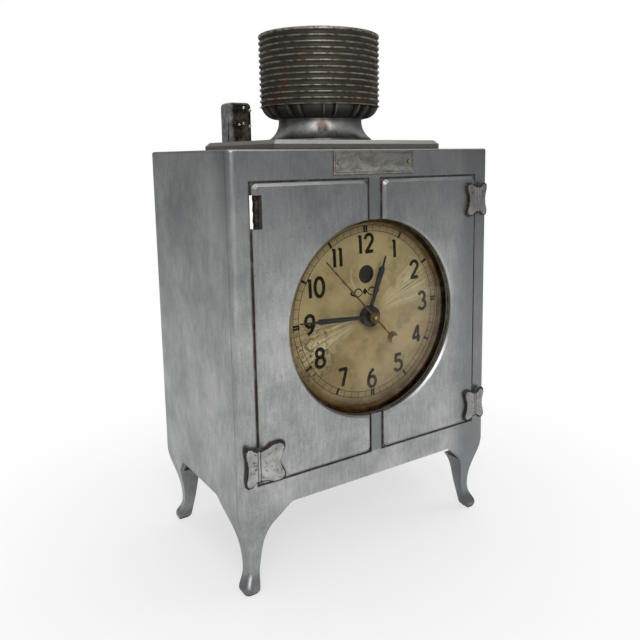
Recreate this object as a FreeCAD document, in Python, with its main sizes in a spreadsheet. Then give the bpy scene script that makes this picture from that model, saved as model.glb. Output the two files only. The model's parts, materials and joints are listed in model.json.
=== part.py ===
import FreeCAD, Part
import Sketcher
import math
import os
import re

# Electric mantel clock whose case is a small two-door refrigerator with a round
# cooling drum on its top and four curved legs.
# Frame: +X to the viewer's right, +Y to the back, +Z up, millimetres.  The origin is on
# the table, under the middle of the clock's outer box.  Depths named "deep" are measured
# from the flat front of the case towards the back.

V = FreeCAD.Vector

SIZES = {
    # case casting
    "case_width": 127.0, "case_depth": 81.0, "case_top": 172.0, "case_floor": 35.2,
    "case_wall": 2.2, "corner_round": 2.6, "top_round": 1.0,
    "door_proud": 1.5, "door_inner": 3.5, "door_outer": 55.1, "door_low": 46.2,
    "door_high": 160.0, "door_round": 2.6, "door_bevel": 1.3, "groove_wide": 0.7,
    "groove_deep": 0.5,
    "dial_height": 103.0, "opening_radius": 41.0, "opening_bevel": 0.8,
    "plinth_half_x": 40.9, "plinth_half_y": 32.7, "plinth_high": 3.8, "plinth_bevel": 1.6,
    # legs, as distances from the case's corner; their skirts are hollow behind
    "leg_ankle_out": 4.4, "leg_foot_out": 1.5, "leg_knee_in": 22.9, "leg_foot_in": 7.2,
    "sole_round": 1.3, "skirt_thick": 3.4, "skirt_low": 26.5,
    # how far a cutting shape runs past what it cuts
    "clear_past": 1.0,
    # decorative hinges and the name plate
    "wide_hinge_inner": 45.6, "wide_hinge_outer": 61.6, "wide_hinge_knuckle": 56.3,
    "wide_hinge_high": 14.8, "narrow_hinge_inner": 49.1, "narrow_hinge_outer": 60.1,
    "narrow_hinge_knuckle": 55.2, "narrow_hinge_high": 13.4, "hinge_thick": 1.0,
    "hinge_low": 54.6, "hinge_up": 149.6, "hinge_waist": 1.7, "waist_round": 3.4, "tang_wide": 3.9,
    "tang_high": 12.3, "tang_middle": 53.45,
    "plate_half": 19.7, "plate_low": 162.2, "plate_high": 171.4, "plate_thick": 0.7,
    "plate_pin": 0.9, "plate_pin_at": 17.3,
    # drum and control box on the top
    "neck_low_radius": 22.5, "neck_top_radius": 18.3, "neck_high": 9.5,
    "drum_radius": 26.3, "drum_low": 190.6, "drum_high": 221.0, "drum_ribs": 12,
    "rib_depth": 0.7, "rib_valley": 1.15, "rib_ridge": 0.9, "drum_wall": 2.2,
    "bowl_low": 185.9, "bowl_radius": 20.4,
    "fin_pairs": 10, "fin_thick": 0.7, "fin_spread": 12.0,
    "tie_radius": 1.5, "cap_radius": 1.9, "cap_high": 1.3,
    "box_left": -36.8, "box_right": -26.4, "box_front": 13.8, "box_back": 24.9,
    "box_high": 17.0, "box_round": 2.0,
    # glass, bezel and dial
    "glass_proud": 5.6, "glass_thick": 1.4, "glass_flange": 43.4, "glass_radius": 40.6,
    "bezel_radius": 39.4, "bezel_sheet": 0.8, "dial_deep": 6.3, "dial_thick": 0.5,
    "dial_radius": 41.6, "window_radius": 3.85, "window_up": 17.5,
    # movement
    "housing_radius": 43.5, "housing_sheet": 0.8, "housing_deep": 46.0,
    "flange_radius": 50.0, "boss_ring": 47.0, "boss_radius": 2.8,
    "plate_radius": 31.0, "brass_thick": 1.2, "front_plate_deep": 11.2,
    "back_plate_deep": 27.0, "pillar_ring": 26.0, "pillar_radius": 1.9,
    "going_distance": 13.6, "motion_distance": 14.0, "motor_distance": 10.5,
    "running_gap": 0.05, "seconds_radius": 0.6, "minute_radius": 1.5, "hour_radius": 2.4,
    "set_radius": 1.0, "knob_radius": 7.0, "knob_long": 8.0,
    "capsule_radius": 10.0, "core_thick": 8.0, "core_deep": 30.0,
    "grommet_bore": 3.2, "grommet_radius": 4.6, "grommet_x": -22.0, "grommet_up": -22.0,
}

doc = FreeCAD.newDocument("refrigerator_clock")
sheet = doc.addObject("Spreadsheet::Sheet", "sizes")
for row, (alias, amount) in enumerate(SIZES.items(), start=1):
    sheet.set("A%d" % row, alias.replace("_", " "))
    sheet.set("B%d" % row, str(amount))
    sheet.setAlias("B%d" % row, alias)
doc.recompute()

FRONT = "(glass_proud - case_depth) / 2"
NODES = []


def cells(text):
    """Point every size named in an expression at the spreadsheet."""
    return re.sub(r"[a-z]+(?:_[a-z]+)+", lambda m: "sizes." + m.group(0), str(text))


def size(text):
    """The number that an expression of named sizes has now."""
    return float(sheet.evalExpression(cells(text)))


def bind(item, **properties):
    """Bind an object's properties to expressions; dots in names are written __."""
    for name, text in properties.items():
        item.setExpression(name.replace("__", "."), cells(text))
    return item


def node(item, label):
    """Give a finished sub-part its label, which names its file."""
    item.Label = label
    NODES.append(item)
    return item


def deep(amount):
    """The Y of a depth behind the flat front of the case."""
    return "%s + (%s)" % (FRONT, amount)


# --- primitives and booleans -------------------------------------------------------------

def block(name, x, y, z):
    """A box between pairs of expressions."""
    item = doc.addObject("Part::Box", name)
    bind(item, Length="(%s) - (%s)" % (x[1], x[0]), Width="(%s) - (%s)" % (y[1], y[0]),
         Height="(%s) - (%s)" % (z[1], z[0]))
    return bind(item, Placement__Base__x=x[0], Placement__Base__y=y[0],
                Placement__Base__z=z[0])


TURN = {"z": FreeCAD.Rotation(), "y": FreeCAD.Rotation(V(1, 0, 0), -90),
        "x": FreeCAD.Rotation(V(0, 1, 0), 90)}


def rod(name, radius, start, length, axis="y"):
    """A cylinder from a start point (three expressions) along an axis."""
    item = doc.addObject("Part::Cylinder", name)
    item.Placement = FreeCAD.Placement(V(), TURN[axis])
    bind(item, Radius=radius, Height=length)
    return bind(item, Placement__Base__x=start[0], Placement__Base__y=start[1],
                Placement__Base__z=start[2])


def cone(name, radii, start, length, axis="y"):
    item = doc.addObject("Part::Cone", name)
    item.Placement = FreeCAD.Placement(V(), TURN[axis])
    bind(item, Radius1=radii[0], Radius2=radii[1], Height=length)
    return bind(item, Placement__Base__x=start[0], Placement__Base__y=start[1],
                Placement__Base__z=start[2])


def joined(name, items):
    item = doc.addObject("Part::MultiFuse", name)
    item.Shapes = items
    return item


def cut(name, base, tools):
    item = doc.addObject("Part::Cut", name)
    item.Base = base
    item.Tool = tools[0] if len(tools) == 1 else joined(name + "_tools", tools)
    return item


def edges_where(item, test):
    """Numbers of the edges whose middle point passes a test."""
    doc.recompute()
    numbers = []
    for number, edge in enumerate(item.Shape.Edges, start=1):
        middle = edge.valueAt((edge.FirstParameter + edge.LastParameter) / 2)
        if test(middle, edge):
            numbers.append(number)
    return numbers


def softened(name, base, kind, amount, test):
    """A Part::Fillet or Part::Chamfer on the edges that pass a test."""
    item = doc.addObject("Part::" + kind, name)
    item.Base = base
    item.Edges = [(number, size(amount), size(amount)) for number in edges_where(base, test)]
    return item


def upright(edge):
    return abs(edge.tangentAt(edge.FirstParameter).z) > 0.99


def made(name, shape):
    """A feature whose shape comes from this file's own geometry functions."""
    item = doc.addObject("Part::Feature", name)
    item.Shape = shape
    return item


# --- turned pieces -------------------------------------------------------------------------

def arc_middle(start, end, radius):
    """The middle of an arc; with a positive radius it bulges to the left of the way."""
    chord = end - start
    half = chord.Length / 2
    left = V(-chord.y, chord.x, 0).normalize()
    sagitta = abs(radius) - math.sqrt(max(radius * radius - half * half, 0.0))
    return (start + end) * 0.5 + left * math.copysign(sagitta, radius)


def turned(label, axis, outline, x="0", y="0", z="0"):
    """A PartDesign revolution.  The outline lists (radius, place along the axis), and a
    third entry makes the side that ends there an arc of that radius."""
    body = doc.addObject("PartDesign::Body", label + "_body")
    role = {"z": "XZ_Plane", "y": "XY_Plane"}[axis]
    plane = [item for item in body.Origin.OriginFeatures if item.Role == role][0]
    sketch = body.newObject("Sketcher::SketchObject", label + "_outline")
    sketch.AttachmentSupport = [(plane, "")]
    sketch.MapMode = "FlatFace"
    points = [V(size(vertex[0]), size(vertex[1]), 0) for vertex in outline]
    for number, vertex in enumerate(outline):
        start = points[number - 1]
        end = points[number]
        if len(vertex) == 3:
            radius = size(vertex[2])
            middle = arc_middle(start, end, radius)
            first, last = (end, start) if radius > 0 else (start, end)
            sketch.addGeometry(Part.Arc(first, middle, last), False)
        else:
            sketch.addGeometry(Part.LineSegment(start, end), False)
    tie_outline(sketch, outline, points)
    turn = body.newObject("PartDesign::Revolution", label + "_turn")
    turn.Profile = sketch
    turn.ReferenceAxis = (sketch, ["V_Axis"])
    turn.Angle = 360.0
    body.Tip = turn
    return bind(body, Placement__Base__x=x, Placement__Base__y=y, Placement__Base__z=z)


def arc_ends(sketch, number, start):
    """Which ends (1 or 2) of a side are its start and its finish."""
    side = sketch.Geometry[number]
    return (1, 2) if side.StartPoint.distanceToPoint(start) < 1e-6 else (2, 1)


def tie_outline(sketch, outline, points):
    """Join the sides end to end and bind each corner to its two expressions."""
    count = len(outline)
    ends = [arc_ends(sketch, number, points[number - 1]) for number in range(count)]
    for number in range(count):
        after = (number + 1) % count
        sketch.addConstraint(Sketcher.Constraint("Coincident", number, ends[number][1],
                                                 after, ends[after][0]))
    for number, vertex in enumerate(outline):
        finish = ends[number][1]
        for kind, text, place in (("DistanceX", vertex[0], points[number].x),
                                  ("DistanceY", vertex[1], points[number].y)):
            if abs(place) < 1e-9 and kind == "DistanceX":
                sketch.addConstraint(Sketcher.Constraint("PointOnObject", number, finish, -2))
                continue
            index = sketch.addConstraint(
                Sketcher.Constraint(kind, -1, 1, number, finish, place))
            sketch.setExpression("Constraints[%d]" % index, cells(text))
        if len(vertex) == 3:
            kind, text = arc_centre(outline[number - 1], vertex)
            index = sketch.addConstraint(
                Sketcher.Constraint(kind, -1, 1, number, 3, size(text)))
            sketch.setExpression("Constraints[%d]" % index, cells(text))


def arc_centre(start, end):
    """The constraint that holds an arc's centre: its kind and its expression."""
    run = "((%s) - (%s))" % (end[0], start[0])
    rise = "((%s) - (%s))" % (end[1], start[1])
    chord = "sqrt(%s ^ 2 + %s ^ 2)" % (run, rise)
    radius = "(%s)" % end[2]
    away = "sqrt(%s ^ 2 - %s ^ 2 / 4)" % (radius, chord)
    side = 1 if size(radius) > 0 else -1
    if abs(size(rise)) > abs(size(run)):
        return "DistanceX", "((%s) + (%s)) / 2 + %d * %s * %s / %s" % (
            start[0], end[0], side, rise, away, chord)
    return "DistanceY", "((%s) + (%s)) / 2 - %d * %s * %s / %s" % (
        start[1], end[1], side, run, away, chord)


# --- flat and toothed pieces, cut in the dial's plane --------------------------------------

def clock_point(radius, degrees, y=0.0):
    """A point at a clock angle (clockwise from twelve, seen from the front)."""
    angle = math.radians(degrees)
    return V(radius * math.sin(angle), y, radius * math.cos(angle))


def slab(points, near, far):
    """A flat piece between two depths from corner points in the dial's plane."""
    start = size(deep(near))
    shift = V(0, start, 0)
    wire = Part.makePolygon([point + shift for point in points] + [points[0] + shift])
    return Part.Face(wire).extrude(V(0, size(deep(far)) - start, 0))


def disc(radius, near, far, centre=V()):
    """A round plate or shaft between two depths."""
    start = size(deep(near))
    return Part.makeCylinder(radius, size(deep(far)) - start,
                             V(centre.x, start, centre.z), V(0, 1, 0))


def toothed(teeth, module, near, far, centre, tooth_at):
    """A spur gear.  One of its teeth points along the angle tooth_at, in degrees from +X
    towards +Z."""
    pitch = math.tau / teeth
    pitch_radius = teeth * module / 2
    root = pitch_radius - 1.15 * module
    tip = pitch_radius + 0.75 * module
    corners = []
    for tooth in range(teeth):
        middle = math.radians(tooth_at) + tooth * pitch
        for radius, share in ((root, -0.23), (tip, -0.09), (tip, 0.09), (root, 0.23)):
            angle = middle + share * pitch
            corners.append(centre + V(radius * math.cos(angle), 0, radius * math.sin(angle)))
    return slab(corners, near, far)


def welded(shapes):
    first = shapes[0]
    return first.fuse(shapes[1:]).removeSplitter() if len(shapes) > 1 else first


AXIS = V(0, 0, size("dial_height"))


def from_axis(distance, degrees):
    """A point in the dial's plane, degrees from +X towards +Z around the hand arbor."""
    angle = math.radians(degrees)
    return AXIS + V(distance * math.cos(angle), 0, distance * math.sin(angle))


GOING_AT = 150.0
MOTION_AT = 35.0
MOTOR_AT = -90.0
GOING = from_axis(size("going_distance"), GOING_AT)
MOTION = from_axis(size("motion_distance"), MOTION_AT)
MOTOR = from_axis(size("motor_distance"), MOTOR_AT)

# teeth and modules of the four meshes
SECONDS_TEETH, MOTOR_TEETH = 48, 12
DRIVE_MODULE = 2 * size("motor_distance") / (SECONDS_TEETH + MOTOR_TEETH)
PINION_TEETH, GOING_TEETH = 10, 75
GOING_MODULE = 2 * size("going_distance") / (PINION_TEETH + GOING_TEETH)
CENTRE_TEETH = 80
CENTRE_MODULE = 2 * size("going_distance") / (PINION_TEETH + CENTRE_TEETH)
CANNON_TEETH, MOTION_TEETH = 12, 36
CANNON_MODULE = 2 * size("motion_distance") / (CANNON_TEETH + MOTION_TEETH)
HOUR_TEETH = 40
HOUR_MODULE = 2 * size("motion_distance") / (PINION_TEETH + HOUR_TEETH)


def gap_facing(angle, teeth):
    """Tooth angle of a wheel that turns a gap towards its driver's tooth."""
    return angle + 180.0 + 180.0 / teeth


def ring_places(count, radius, first=0.0):
    return [AXIS + clock_point(radius, first + 360.0 * number / count)
            for number in range(count)]


# --- case ----------------------------------------------------------------------------------

CORNERS = [(side_x, side_y) for side_x in (-1, 1) for side_y in (-1, 1)]


def leg_profile():
    """Outer and inner edge of a leg: (height, distance from the case's side)."""
    floor = size("case_floor")
    ankle = size("leg_ankle_out")
    foot = size("leg_foot_out")
    outer = [(floor + 1.0, 0.0), (0.80 * floor, 0.30 * ankle), (0.62 * floor, 0.70 * ankle),
             (0.36 * floor, ankle), (0.20 * floor, 0.86 * ankle), (0.06 * floor, foot)]
    knee = size("leg_knee_in")
    toe = size("leg_foot_in")
    inner = [(0.05 * floor, toe + 0.7), (0.20 * floor, toe + 1.7), (0.40 * floor, toe + 2.9),
             (0.62 * floor, toe + 4.1), (0.78 * floor, 0.60 * knee), (0.90 * floor, 0.79 * knee),
             (floor, knee)]
    return outer, inner


def leg_face():
    """The leg's side view as a face in X and Z, its corner side at X = 0."""
    round_edge = size("sole_round")
    outer, inner = leg_profile()
    outer_curve = Part.BSplineCurve()
    outer_curve.interpolate([V(away, 0, height) for height, away in outer],
                            InitialTangent=V(0, 0, -1), FinalTangent=V(-0.4, 0, -1))
    inner_curve = Part.BSplineCurve()
    inner_curve.interpolate([V(away, 0, height) for height, away in inner],
                            InitialTangent=V(0.2, 0, 1), FinalTangent=V(1, 0, 0.25))
    sole_out = V(outer[-1][1] + round_edge, 0, 0)
    sole_in = V(inner[0][1] - round_edge, 0, 0)
    top_out = V(0, 0, outer[0][0])
    top_in = V(inner[-1][1], 0, outer[0][0])
    heel = outer_curve.EndPoint
    toe = inner_curve.StartPoint
    sides = [outer_curve.toShape(),
             Part.Arc(heel, heel * 0.25 + sole_out * 0.75 + V(-0.3, 0, 0.25), sole_out).toShape(),
             Part.LineSegment(sole_out, sole_in).toShape(),
             Part.Arc(sole_in, toe * 0.25 + sole_in * 0.75 + V(0.3, 0, 0.25), toe).toShape(),
             inner_curve.toShape(),
             Part.LineSegment(inner_curve.EndPoint, top_in).toShape(),
             Part.LineSegment(top_in, top_out).toShape()]
    return Part.Face(Part.Wire(sides))


def legs():
    """Four legs whose front and side views are the same outline."""
    face = leg_face()
    reach = size("leg_knee_in + 5")
    front_view = face.extrude(V(0, reach, 0))
    side_face = face.copy()
    side_face.rotate(V(), V(0, 0, 1), 90)
    side_view = side_face.mirror(V(), V(1, 0, 0)).extrude(V(reach, 0, 0))
    leg = front_view.common(side_view)
    top = size("case_floor") + 1.0
    leg = leg.common(Part.makeBox(reach, reach, top))
    ankle = size("leg_ankle_out") + 0.1
    foot = size("leg_foot_out") + 0.1
    heel = size("sole_round")
    outer = [edge for edge in leg.Edges if edge.BoundBox.ZLength > 1.0
             and edge.BoundBox.XMax < ankle and edge.BoundBox.YMax < ankle]
    rim = [edge for edge in leg.Edges if edge.BoundBox.ZLength < 0.01
           and heel < edge.BoundBox.ZMin < 2 * heel
           and min(edge.BoundBox.XMax, edge.BoundBox.YMax) < foot]
    leg = leg.makeFillet(size("corner_round"), outer + rim)
    skirt = size("skirt_thick")
    leg = leg.cut(Part.makeBox(reach, reach, top, V(skirt, skirt, size("skirt_low"))))
    pieces = []
    for side_x, side_y in CORNERS:
        piece = leg.copy()
        if side_x > 0:
            piece = piece.mirror(V(), V(1, 0, 0))
        if side_y > 0:
            piece = piece.mirror(V(), V(0, 1, 0))
        front = size(FRONT)
        piece.translate(V(side_x * size("case_width") / 2,
                          front if side_y < 0 else front + size("case_depth"), 0))
        pieces.append(piece)
    return made("legs", Part.makeCompound(pieces))


def door(name, side):
    inner = "%d * door_inner" % side
    outer = "%d * door_outer" % side
    x = (inner, outer) if side > 0 else (outer, inner)
    raised = block(name, x, (deep("-door_proud"), deep("case_wall / 2")),
                   ("door_low", "door_high"))
    rounded = softened(name + "_rounded", raised, "Fillet", "door_round",
                       lambda middle, edge: abs(edge.tangentAt(0).y) > 0.99)
    face_y = size(deep("-door_proud"))
    return softened(name + "_bevelled", rounded, "Chamfer", "door_bevel",
                    lambda middle, edge: abs(middle.y - face_y) < 1e-4)


def hinge_slot(name, side, height):
    low = "%d * tang_middle - tang_wide / 2" % side
    high = "%d * tang_middle + tang_wide / 2" % side
    return block(name, (low, high), (deep("-door_proud - 1"), deep("case_wall + 1")),
                 ("%s - tang_high / 2" % height, "%s + tang_high / 2" % height))


def casting():
    """The whole case: box, doors, plinth and legs, pierced for what is fixed to it."""
    half = "case_width / 2"
    outside = block("outside", ("-" + half, half), (deep("0"), deep("case_depth")),
                    ("case_floor", "case_top"))
    rounded = softened("outside_rounded", outside, "Fillet", "corner_round",
                       lambda middle, edge: upright(edge))
    top = size("case_top")
    eased = softened("outside_eased", rounded, "Fillet", "top_round",
                     lambda middle, edge: abs(middle.z - top) < 1e-4)
    inside = block("inside", ("case_wall - " + half, half + " - case_wall"),
                   (deep("case_wall"), deep("case_depth + 1")),
                   ("case_floor + case_wall", "case_top - case_wall"))
    grooves = [block("groove_%s" % name, x, (deep("-1"), deep("groove_deep")),
                     ("door_low - groove_wide", "door_high + groove_wide"))
               for name, x in (("left", ("-door_outer - groove_wide", "groove_wide - door_inner")),
                               ("right", ("door_inner - groove_wide", "door_outer + groove_wide")))]
    box = cut("box", eased, [inside] + grooves)
    plinth = block("plinth", ("-plinth_half_x", "plinth_half_x"),
                   (deep("case_depth / 2 - plinth_half_y"), deep("case_depth / 2 + plinth_half_y")),
                   ("case_top - case_wall / 2", "case_top + plinth_high"))
    plinth_top = size("case_top + plinth_high")
    plinth_bevelled = softened("plinth_bevelled", plinth, "Chamfer", "plinth_bevel",
                               lambda middle, edge: abs(middle.z - plinth_top) < 1e-4)
    bosses = [rod("boss_%d" % number, "boss_radius",
                  (place.x, deep("case_wall / 2"), place.z), "3.3")
              for number, place in enumerate(ring_places(4, size("boss_ring"), 45.0))]
    body = joined("solid_case", [box, door("door_left", -1), door("door_right", 1),
                                 plinth_bevelled, legs()] + bosses)
    opening = rod("opening", "opening_radius", ("0", deep("-door_proud - 1"), "dial_height"),
                  "case_wall + door_proud + 2")
    flare = cone("opening_flare", ("opening_radius + opening_bevel", "opening_radius"),
                 ("0", deep("-door_proud"), "dial_height"), "opening_bevel")
    slots = [hinge_slot("slot_%d_%s" % (side, height), side, height)
             for side in (-1, 1) for height in ("hinge_low", "hinge_up")]
    pins = [rod("plate_pin_hole_%d" % side, "plate_pin / 2",
                ("%d * plate_pin_at" % side, deep("-1"), "(plate_low + plate_high) / 2"), "2.4")
            for side in (-1, 1)]
    tie = rod("tie_hole", "tie_radius + 0.1", ("0", deep("case_depth / 2"), "case_top - 4"),
              "10", "z")
    fixing = rod("box_screw_hole", "1.3",
                 ("(box_left + box_right) / 2", deep("(case_depth + box_front + box_back) / 2"),
                  "case_top - 4"), "10", "z")
    threads = [rod("boss_hole_%d" % number, "0.9", (place.x, deep("1.4"), place.z), "4")
               for number, place in enumerate(ring_places(4, size("boss_ring"), 45.0))]
    return cut("case", body, [opening, flare, tie, fixing] + slots + pins + threads)


def case_walls():
    """The casting as its plain walls and legs, which meet flush and don't overlap."""
    whole = casting()
    inner = "case_width / 2 - case_wall"
    outer = "case_width / 2 + clear_past"
    across = ("case_wall - case_width / 2", inner)
    behind = (deep("case_wall"), deep("case_depth + clear_past"))
    up = ("case_floor", "case_top + plinth_high + clear_past")
    spaces = {
        "case_left_side": (("-(%s)" % outer, across[0]), behind, up),
        "case_right_side": ((inner, outer), behind, up),
        "case_top": (across, behind, ("case_top - case_wall", up[1])),
        "case_floor": (across, behind, ("case_floor", "case_floor + case_wall")),
    }
    sides = {"left": ("-(%s)" % outer, "0"), "right": ("0", outer)}
    ends = {"front": (deep("-clear_past"), deep("case_depth / 2")),
            "back": (deep("case_depth / 2"), behind[1])}
    for end, y in ends.items():
        for side, x in sides.items():
            spaces["leg_%s_%s" % (end, side)] = (x, y, ("-clear_past", "case_floor"))
    taken = []
    for label, (x, y, z) in spaces.items():
        taken.append(block(label + "_space", x, y, z))
        wall = doc.addObject("Part::Common", label + "_wall")
        wall.Base = whole
        wall.Tool = taken[-1]
        node(wall, label)
    node(cut("front_wall", whole, taken), "case_front")


# --- front trim ----------------------------------------------------------------------------

def hinge(label, side, height, kind):
    """A flat butterfly hinge: two wings with a drawn-in waist, a knuckle and a tang."""
    inner, outer, knuckle_at, tall = ["%s_hinge_%s" % (kind, word)
                                      for word in ("inner", "outer", "knuckle", "high")]
    left, right = sorted((inner, outer), key=lambda edge: side * size(edge))
    left, right = "%d * %s" % (side, left), "%d * %s" % (side, right)
    front = "-door_proud - hinge_thick"
    wing = block(label + "_wings", (left, right), (deep(front), deep("-door_proud")),
                 ("%s - %s / 2" % (height, tall), "%s + %s / 2" % (height, tall)))
    rounded = softened(label + "_rounded", wing, "Fillet", "1.1",
                       lambda middle, edge: abs(edge.tangentAt(0).y) > 0.99)
    bites = []
    for number, (way, edge) in enumerate(((-1, left), (1, right))):
        bites.append(rod("%s_waist_%d" % (label, number), "waist_round",
                         ("%s + %d * (waist_round - hinge_waist)" % (edge, way),
                          deep(front + " - 1"), height), "4"))
        bites.append(rod("%s_notch_%d" % (label, number), "2.2",
                         ("%d * %s" % (side, knuckle_at), deep(front + " - 1"),
                          "%s + %d * (%s / 2 + 1.0)" % (height, way, tall)), "4"))
    plate = cut(label + "_plate", rounded, bites)
    knuckle = rod(label + "_knuckle", "0.95",
                  ("%d * %s" % (side, knuckle_at), deep("-door_proud - 0.5"),
                   "%s - %s / 2 + 1.5" % (height, tall)), tall + " - 3", "z")
    frame_x = (left + " + 1.9", "-door_outer - 0.75")
    if side > 0:
        frame_x = ("door_outer + 0.75", right + " - 1.9")
    foot = block(label + "_foot", frame_x, (deep("-door_proud - 0.1"), deep("0")),
                 ("%s - %s / 2 + 1.6" % (height, tall), "%s + %s / 2 - 1.6" % (height, tall)))
    tang = block(label + "_tang", ("%d * tang_middle - tang_wide / 2 + 0.1" % side,
                                   "%d * tang_middle + tang_wide / 2 - 0.1" % side),
                 (deep("-door_proud - 0.1"), deep("case_wall + 0.8")),
                 ("%s - tang_high / 2 + 0.1" % height, "%s + tang_high / 2 - 0.1" % height))
    node(joined(label + "_all", [plate, knuckle, foot, tang]), label)


def name_plate():
    plate = block("plate_blank", ("-plate_half", "plate_half"), (deep("-plate_thick"), deep("0")),
                  ("plate_low", "plate_high"))
    holes = [rod("plate_hole_%d" % side, "plate_pin / 2",
                 ("%d * plate_pin_at" % side, deep("-2"), "(plate_low + plate_high) / 2"), "3")
             for side in (-1, 1)]
    node(cut("plate_pierced", plate, holes), "nameplate")
    pins = [made("pin_%d" % side, welded([
        disc(size("plate_pin / 2"), "-plate_thick", "1.2", place),
        disc(size("plate_pin"), "-plate_thick - 0.35", "-plate_thick", place)]))
        for side, place in ((side, V(side * size("plate_pin_at"), 0,
                                     size("(plate_low + plate_high) / 2"))) for side in (-1, 1))]
    group = doc.addObject("Part::Compound", "plate_pins")
    group.Links = pins
    node(group, "nameplate_pins")


# --- drum and control box on top ------------------------------------------------------------

def drum():
    middle_y = deep("case_depth / 2")
    base = "case_top + plinth_high"
    node(turned("neck_collar", "z", [
        ("tie_radius + 0.1", base),
        ("neck_low_radius", base),
        ("neck_low_radius", base + " + 1.0"),
        ("neck_low_radius - 0.7", base + " + 1.5"),
        ("neck_top_radius", base + " + neck_high - 1.2", "9.0"),
        ("neck_top_radius", base + " + neck_high"),
        ("tie_radius + 0.1", base + " + neck_high")], y=middle_y), "neck_collar")
    neck_top = base + " + neck_high"
    bowl = turned("bowl_blank", "z", [
        ("tie_radius + 0.1", neck_top),
        ("bowl_radius - 1.8", neck_top),
        ("drum_radius - 3.4", "drum_low", "-8.0"),
        ("tie_radius + 0.1", "drum_low")], y=middle_y)
    fin = turned("fin_band", "z", [
        ("bowl_radius - 2.6", neck_top),
        ("bowl_radius", "bowl_low - 0.3"),
        ("drum_radius - 0.6", "drum_low", "-7.0"),
        ("bowl_radius - 2.6", "drum_low")], y=middle_y)
    blades = []
    for pair in range(int(size("fin_pairs"))):
        for way in (-1, 1):
            angle = 14.0 + 360.0 * pair / size("fin_pairs") + way * size("fin_spread") / 2
            blade = Part.makeBox(12, size("fin_thick"), 8,
                                 V(16, -size("fin_thick") / 2, size("bowl_low") - 1))
            blade.rotate(V(), V(0, 0, 1), angle - 90)
            blade.translate(V(0, size(middle_y), 0))
            blades.append(blade)
    fans = made("fin_fan", Part.makeCompound(blades))
    trimmed = doc.addObject("Part::Common", "fins")
    trimmed.Base = fin
    trimmed.Tool = fans
    node(joined("bowl", [bowl, trimmed]), "drum_bowl")
    shell = turned("drum_shell", "z", [
        ("drum_radius - drum_wall - rib_depth", "drum_low"),
        ("drum_radius", "drum_low"),
        ("drum_radius", "drum_high - 0.5"),
        ("drum_radius - 0.8", "drum_high", "-0.9"),
        ("tie_radius + 0.1", "drum_high"),
        ("tie_radius + 0.1", "drum_high - drum_wall"),
        ("drum_radius - drum_wall - rib_depth", "drum_high - drum_wall")], y=middle_y)
    rib_grooves(shell)
    node(shell, "drum_shell")


def rib_grooves(body):
    """Round grooves up the side of the drum, which leave a narrow ridge between them."""
    pitch = "(drum_high - rib_ridge - drum_low) / drum_ribs"
    plane = [item for item in body.Origin.OriginFeatures if item.Role == "XZ_Plane"][0]
    sketch = body.newObject("Sketcher::SketchObject", "rib_valley")
    sketch.AttachmentSupport = [(plane, "")]
    sketch.MapMode = "FlatFace"
    centre = ("drum_radius + rib_valley - rib_depth", "drum_low + (%s) / 2" % pitch)
    middle = V(size(centre[0]), size(centre[1]), 0)
    sketch.addGeometry(Part.Circle(middle, V(0, 0, 1), size("rib_valley")), False)
    for kind, text, place in (("DistanceX", centre[0], middle.x),
                              ("DistanceY", centre[1], middle.y)):
        index = sketch.addConstraint(Sketcher.Constraint(kind, -1, 1, 0, 3, place))
        sketch.setExpression("Constraints[%d]" % index, cells(text))
    index = sketch.addConstraint(Sketcher.Constraint("Radius", 0, size("rib_valley")))
    sketch.setExpression("Constraints[%d]" % index, cells("rib_valley"))
    valley = body.newObject("PartDesign::Groove", "rib_groove")
    valley.Profile = sketch
    valley.ReferenceAxis = (sketch, ["V_Axis"])
    valley.Angle = 360.0
    doc.recompute()
    row = body.newObject("PartDesign::LinearPattern", "rib_row")
    row.Originals = [valley]
    row.Direction = (sketch, ["V_Axis"])
    bind(row, Length="(drum_ribs - 1) * " + pitch, Occurrences="drum_ribs")
    body.Tip = row


def tie_bolt():
    middle = V(0, size(deep("case_depth / 2")), 0)
    head = size("drum_high")
    foot = size("case_top - case_wall") - 4.4
    shank = Part.makeCylinder(size("tie_radius"), head - foot, middle + V(0, 0, foot))
    cap = Part.makeCylinder(size("cap_radius"), size("cap_high"), middle + V(0, 0, head))
    cap = cap.makeFillet(0.5, [edge for edge in cap.Edges if edge.BoundBox.ZMin > head + 0.5
                               and edge.Closed])
    slot = Part.makeBox(6, 0.5, 1, middle + V(-3, -0.25, head + size("cap_high") - 0.4))
    node(made("tie", welded([shank, cap]).cut(slot)), "drum_tie_bolt")
    under = size("case_top - case_wall")
    washer = Part.makeCylinder(4.2, 0.7, middle + V(0, 0, under - 0.7))
    hole = Part.makeCylinder(size("tie_radius") + 0.1, 10, middle + V(0, 0, under - 5))
    node(made("washer", washer.cut(hole)), "tie_washer")
    corners = [middle + V(3.0 * math.cos(math.radians(60 * turn)),
                          3.0 * math.sin(math.radians(60 * turn)), under - 3.1)
               for turn in range(6)]
    nut = Part.Face(Part.makePolygon(corners + corners[:1])).extrude(V(0, 0, 2.4))
    thread = Part.makeCylinder(size("tie_radius"), 10, middle + V(0, 0, under - 5))
    node(made("nut", nut.cut(thread)), "tie_nut")


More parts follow.
